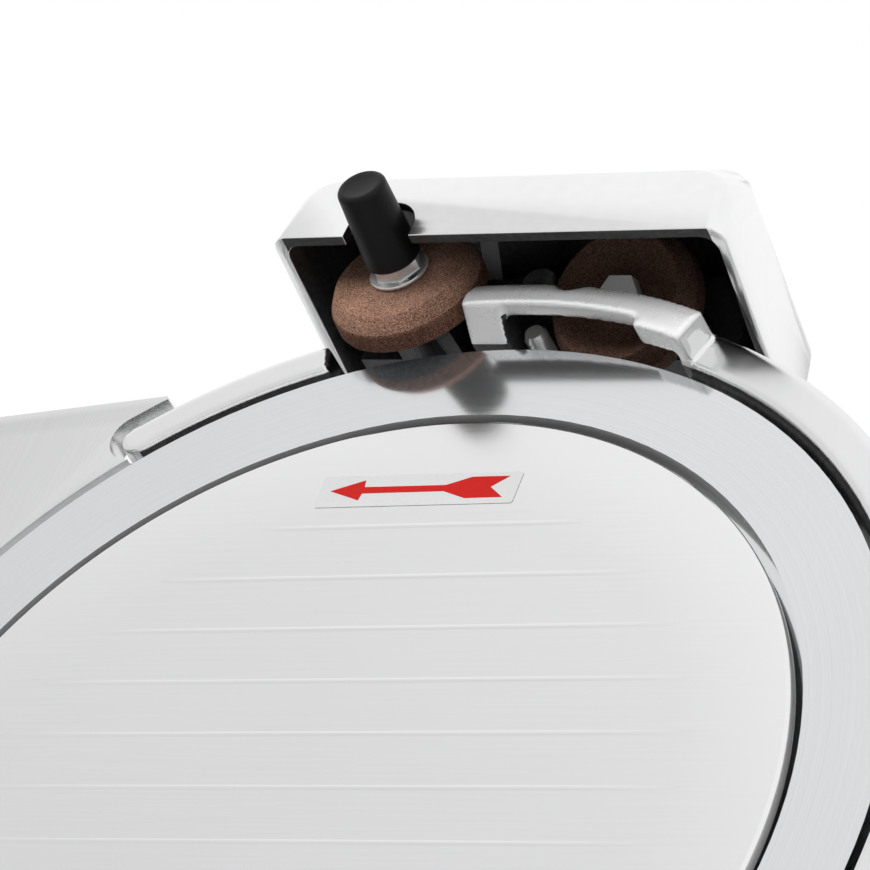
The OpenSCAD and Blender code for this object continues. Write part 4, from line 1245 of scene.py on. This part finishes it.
@dataclass
class Carriage:
    """The food table on its arm, the pusher and the hand guard."""

    def build(self) -> None:
        """Makes every piece of the carriage."""
        for node, finish, edge in (
                ("food_table", Finishes.brushed_plate, 0.8), ("carriage_arm", Finishes.satin_cast, 1.5),
                ("pusher_sleeve", Finishes.machined, 0.4), ("pusher_arm", Finishes.satin_cast, 1.2),
                ("pusher_plate", Finishes.polished_cast, 0.5), ("pusher_grip", Finishes.black_moulding, 0.8),
                ("carriage_handle", Finishes.black_moulding, 0.8), ("hand_guard", Finishes.clear_sheet, 0.6)):
            Bench.rounded(node, finish, edge)
        dress("carriage_slider pusher_rod", Finishes.machined)


@dataclass
class Studio:
    """The floor, the light and the camera at the photograph's place."""

    lens: float = 248.28
    sensor: float = 36.0
    camera_from_blade: Tuple[float, float, float] = (0.79474, -1.18939, 0.11275)
    looks_along: Tuple[float, float, float] = (-0.53675, 0.84361, -0.01506)
    floor_size: float = 14.0
    floor_greys: Tuple[float, float] = (0.84, 0.88)
    ambient: float = 0.16
    brighter_to: Tuple[float, float, float] = (0.707, 0.707, 0.0)

    def build(self) -> None:
        """Makes the camera, the floor, the world and the lamps."""
        self.camera()
        self.floor()
        self.world()
        self.lamps()
        bpy.context.scene.view_settings.view_transform = "Standard"

    def camera(self) -> None:
        """Sets the camera where the photograph was taken from."""
        data = bpy.data.cameras.new("camera")
        data.lens = self.lens
        data.sensor_width = self.sensor
        data.sensor_fit = "HORIZONTAL"
        data.clip_start, data.clip_end = 0.05, 100
        camera = placed("camera", data)
        self.aim(camera, BLADE.translation + Vector(self.camera_from_blade), Vector(self.looks_along))
        bpy.context.scene.camera = camera

    @staticmethod
    def aim(thing: Piece, place: Vector, along: Vector) -> None:
        """Sets a camera or lamp at a place.

        Args:
            thing: the camera or lamp. place: where it goes. along: the way it looks.
        """
        thing.location = place
        thing.rotation_mode = "QUATERNION"
        thing.rotation_quaternion = along.to_track_quat("-Z", "Y")

    def floor(self) -> None:
        """Lays a plain pale floor, with a faint change of tone."""
        shape = bmesh.new()
        bmesh.ops.create_grid(shape, x_segments=8, y_segments=8, size=self.floor_size)
        made = bpy.data.materials.new("pale_floor")
        made.use_nodes = True
        wires = Wires(made.node_tree)
        source = wires.add("ShaderNodeTexCoord", {})
        ramp = wires.add("ShaderNodeValToRGB", {0: wires.noise(source.outputs["Object"], 1.5, 3)})
        for stop, grey in zip(ramp.color_ramp.elements, self.floor_greys):
            stop.color = (grey, grey, grey, 1)
        wires.fill(made.node_tree.nodes["Principled BSDF"], {"Base Color": ramp.outputs[0], "Roughness": 0.7})
        floor = placed("floor", poured(shape, bpy.data.meshes.new("floor")))
        floor.data.materials.append(made)

    def world(self) -> None:
        """Makes a white surround for the camera, a softly shaded one for metal and a dim one for the rest."""
        world = bpy.data.worlds.new("studio")
        bpy.context.scene.world = world
        world.use_nodes = True
        wires = Wires(world.node_tree)
        light = wires.add("ShaderNodeLightPath", {}).outputs
        source = wires.add("ShaderNodeTexCoord", {})
        slope = wires.add("ShaderNodeVectorMath", {0: source.outputs["Generated"], 1: self.brighter_to},
                          operation="DOT_PRODUCT")
        gloss = wires.add("ShaderNodeMapRange", {"Value": slope.outputs["Value"], "From Min": -0.535,
                                                 "From Max": -0.365, "To Min": 0.82, "To Max": 1.06})
        seen = wires.math("MAXIMUM", light["Is Camera Ray"], light["Is Transmission Ray"])
        first = wires.math("LESS_THAN", light["Diffuse Depth"], 0.5)
        mirror = wires.math("MULTIPLY", light["Is Glossy Ray"], first)
        metal = wires.math("MULTIPLY", mirror, gloss.outputs[0])
        strength = wires.math("MAXIMUM", wires.math("MAXIMUM", seen, metal), self.ambient)
        wires.fill(world.node_tree.nodes["Background"], {"Color": (1, 1, 1, 1), "Strength": strength})

    def lamps(self) -> None:
        """Hangs three large soft lamps over the object; metal shows the white surround, not the lamps."""
        target = Vector((0.03, 0.0, 0.28))
        for name, place, size, power in (("key", (-1.05, -1.2, 2.4), 1.5, 58.0),
                                         ("top", (-0.1, 0.1, 2.1), 1.2, 16.0),
                                         ("fill", (2.0, -1.4, 1.3), 1.8, 8.0)):
            data = bpy.data.lights.new(name, "AREA")
            data.energy = power
            data.size = size
            lamp = placed(name, data)
            self.aim(lamp, Vector(place), target - Vector(place))
            lamp.visible_glossy = False


def dress(nodes: str, finish: Finish) -> None:
    """Gives CAD nodes their finish.

    Args:
        nodes: the nodes' names, with a space between them. finish: their finish.
    """
    for node in nodes.split():
        slots = frame["nodes"][node].data.materials
        slots.clear()
        slots.append(finish.build())
        log.info("%s: dressed in %s", node, finish.name)


def main() -> None:
    """Builds the studio and each sub-assembly in order."""
    logging.basicConfig(level=logging.INFO, format="%(name)s %(message)s")
    for assembly in (Studio(), BladeHead(), Sharpener(), Stand(), Gauge(), Carriage()):
        log.info("building %s", type(assembly).__name__)
        assembly.build()


if __name__ == "__main__":
    main()
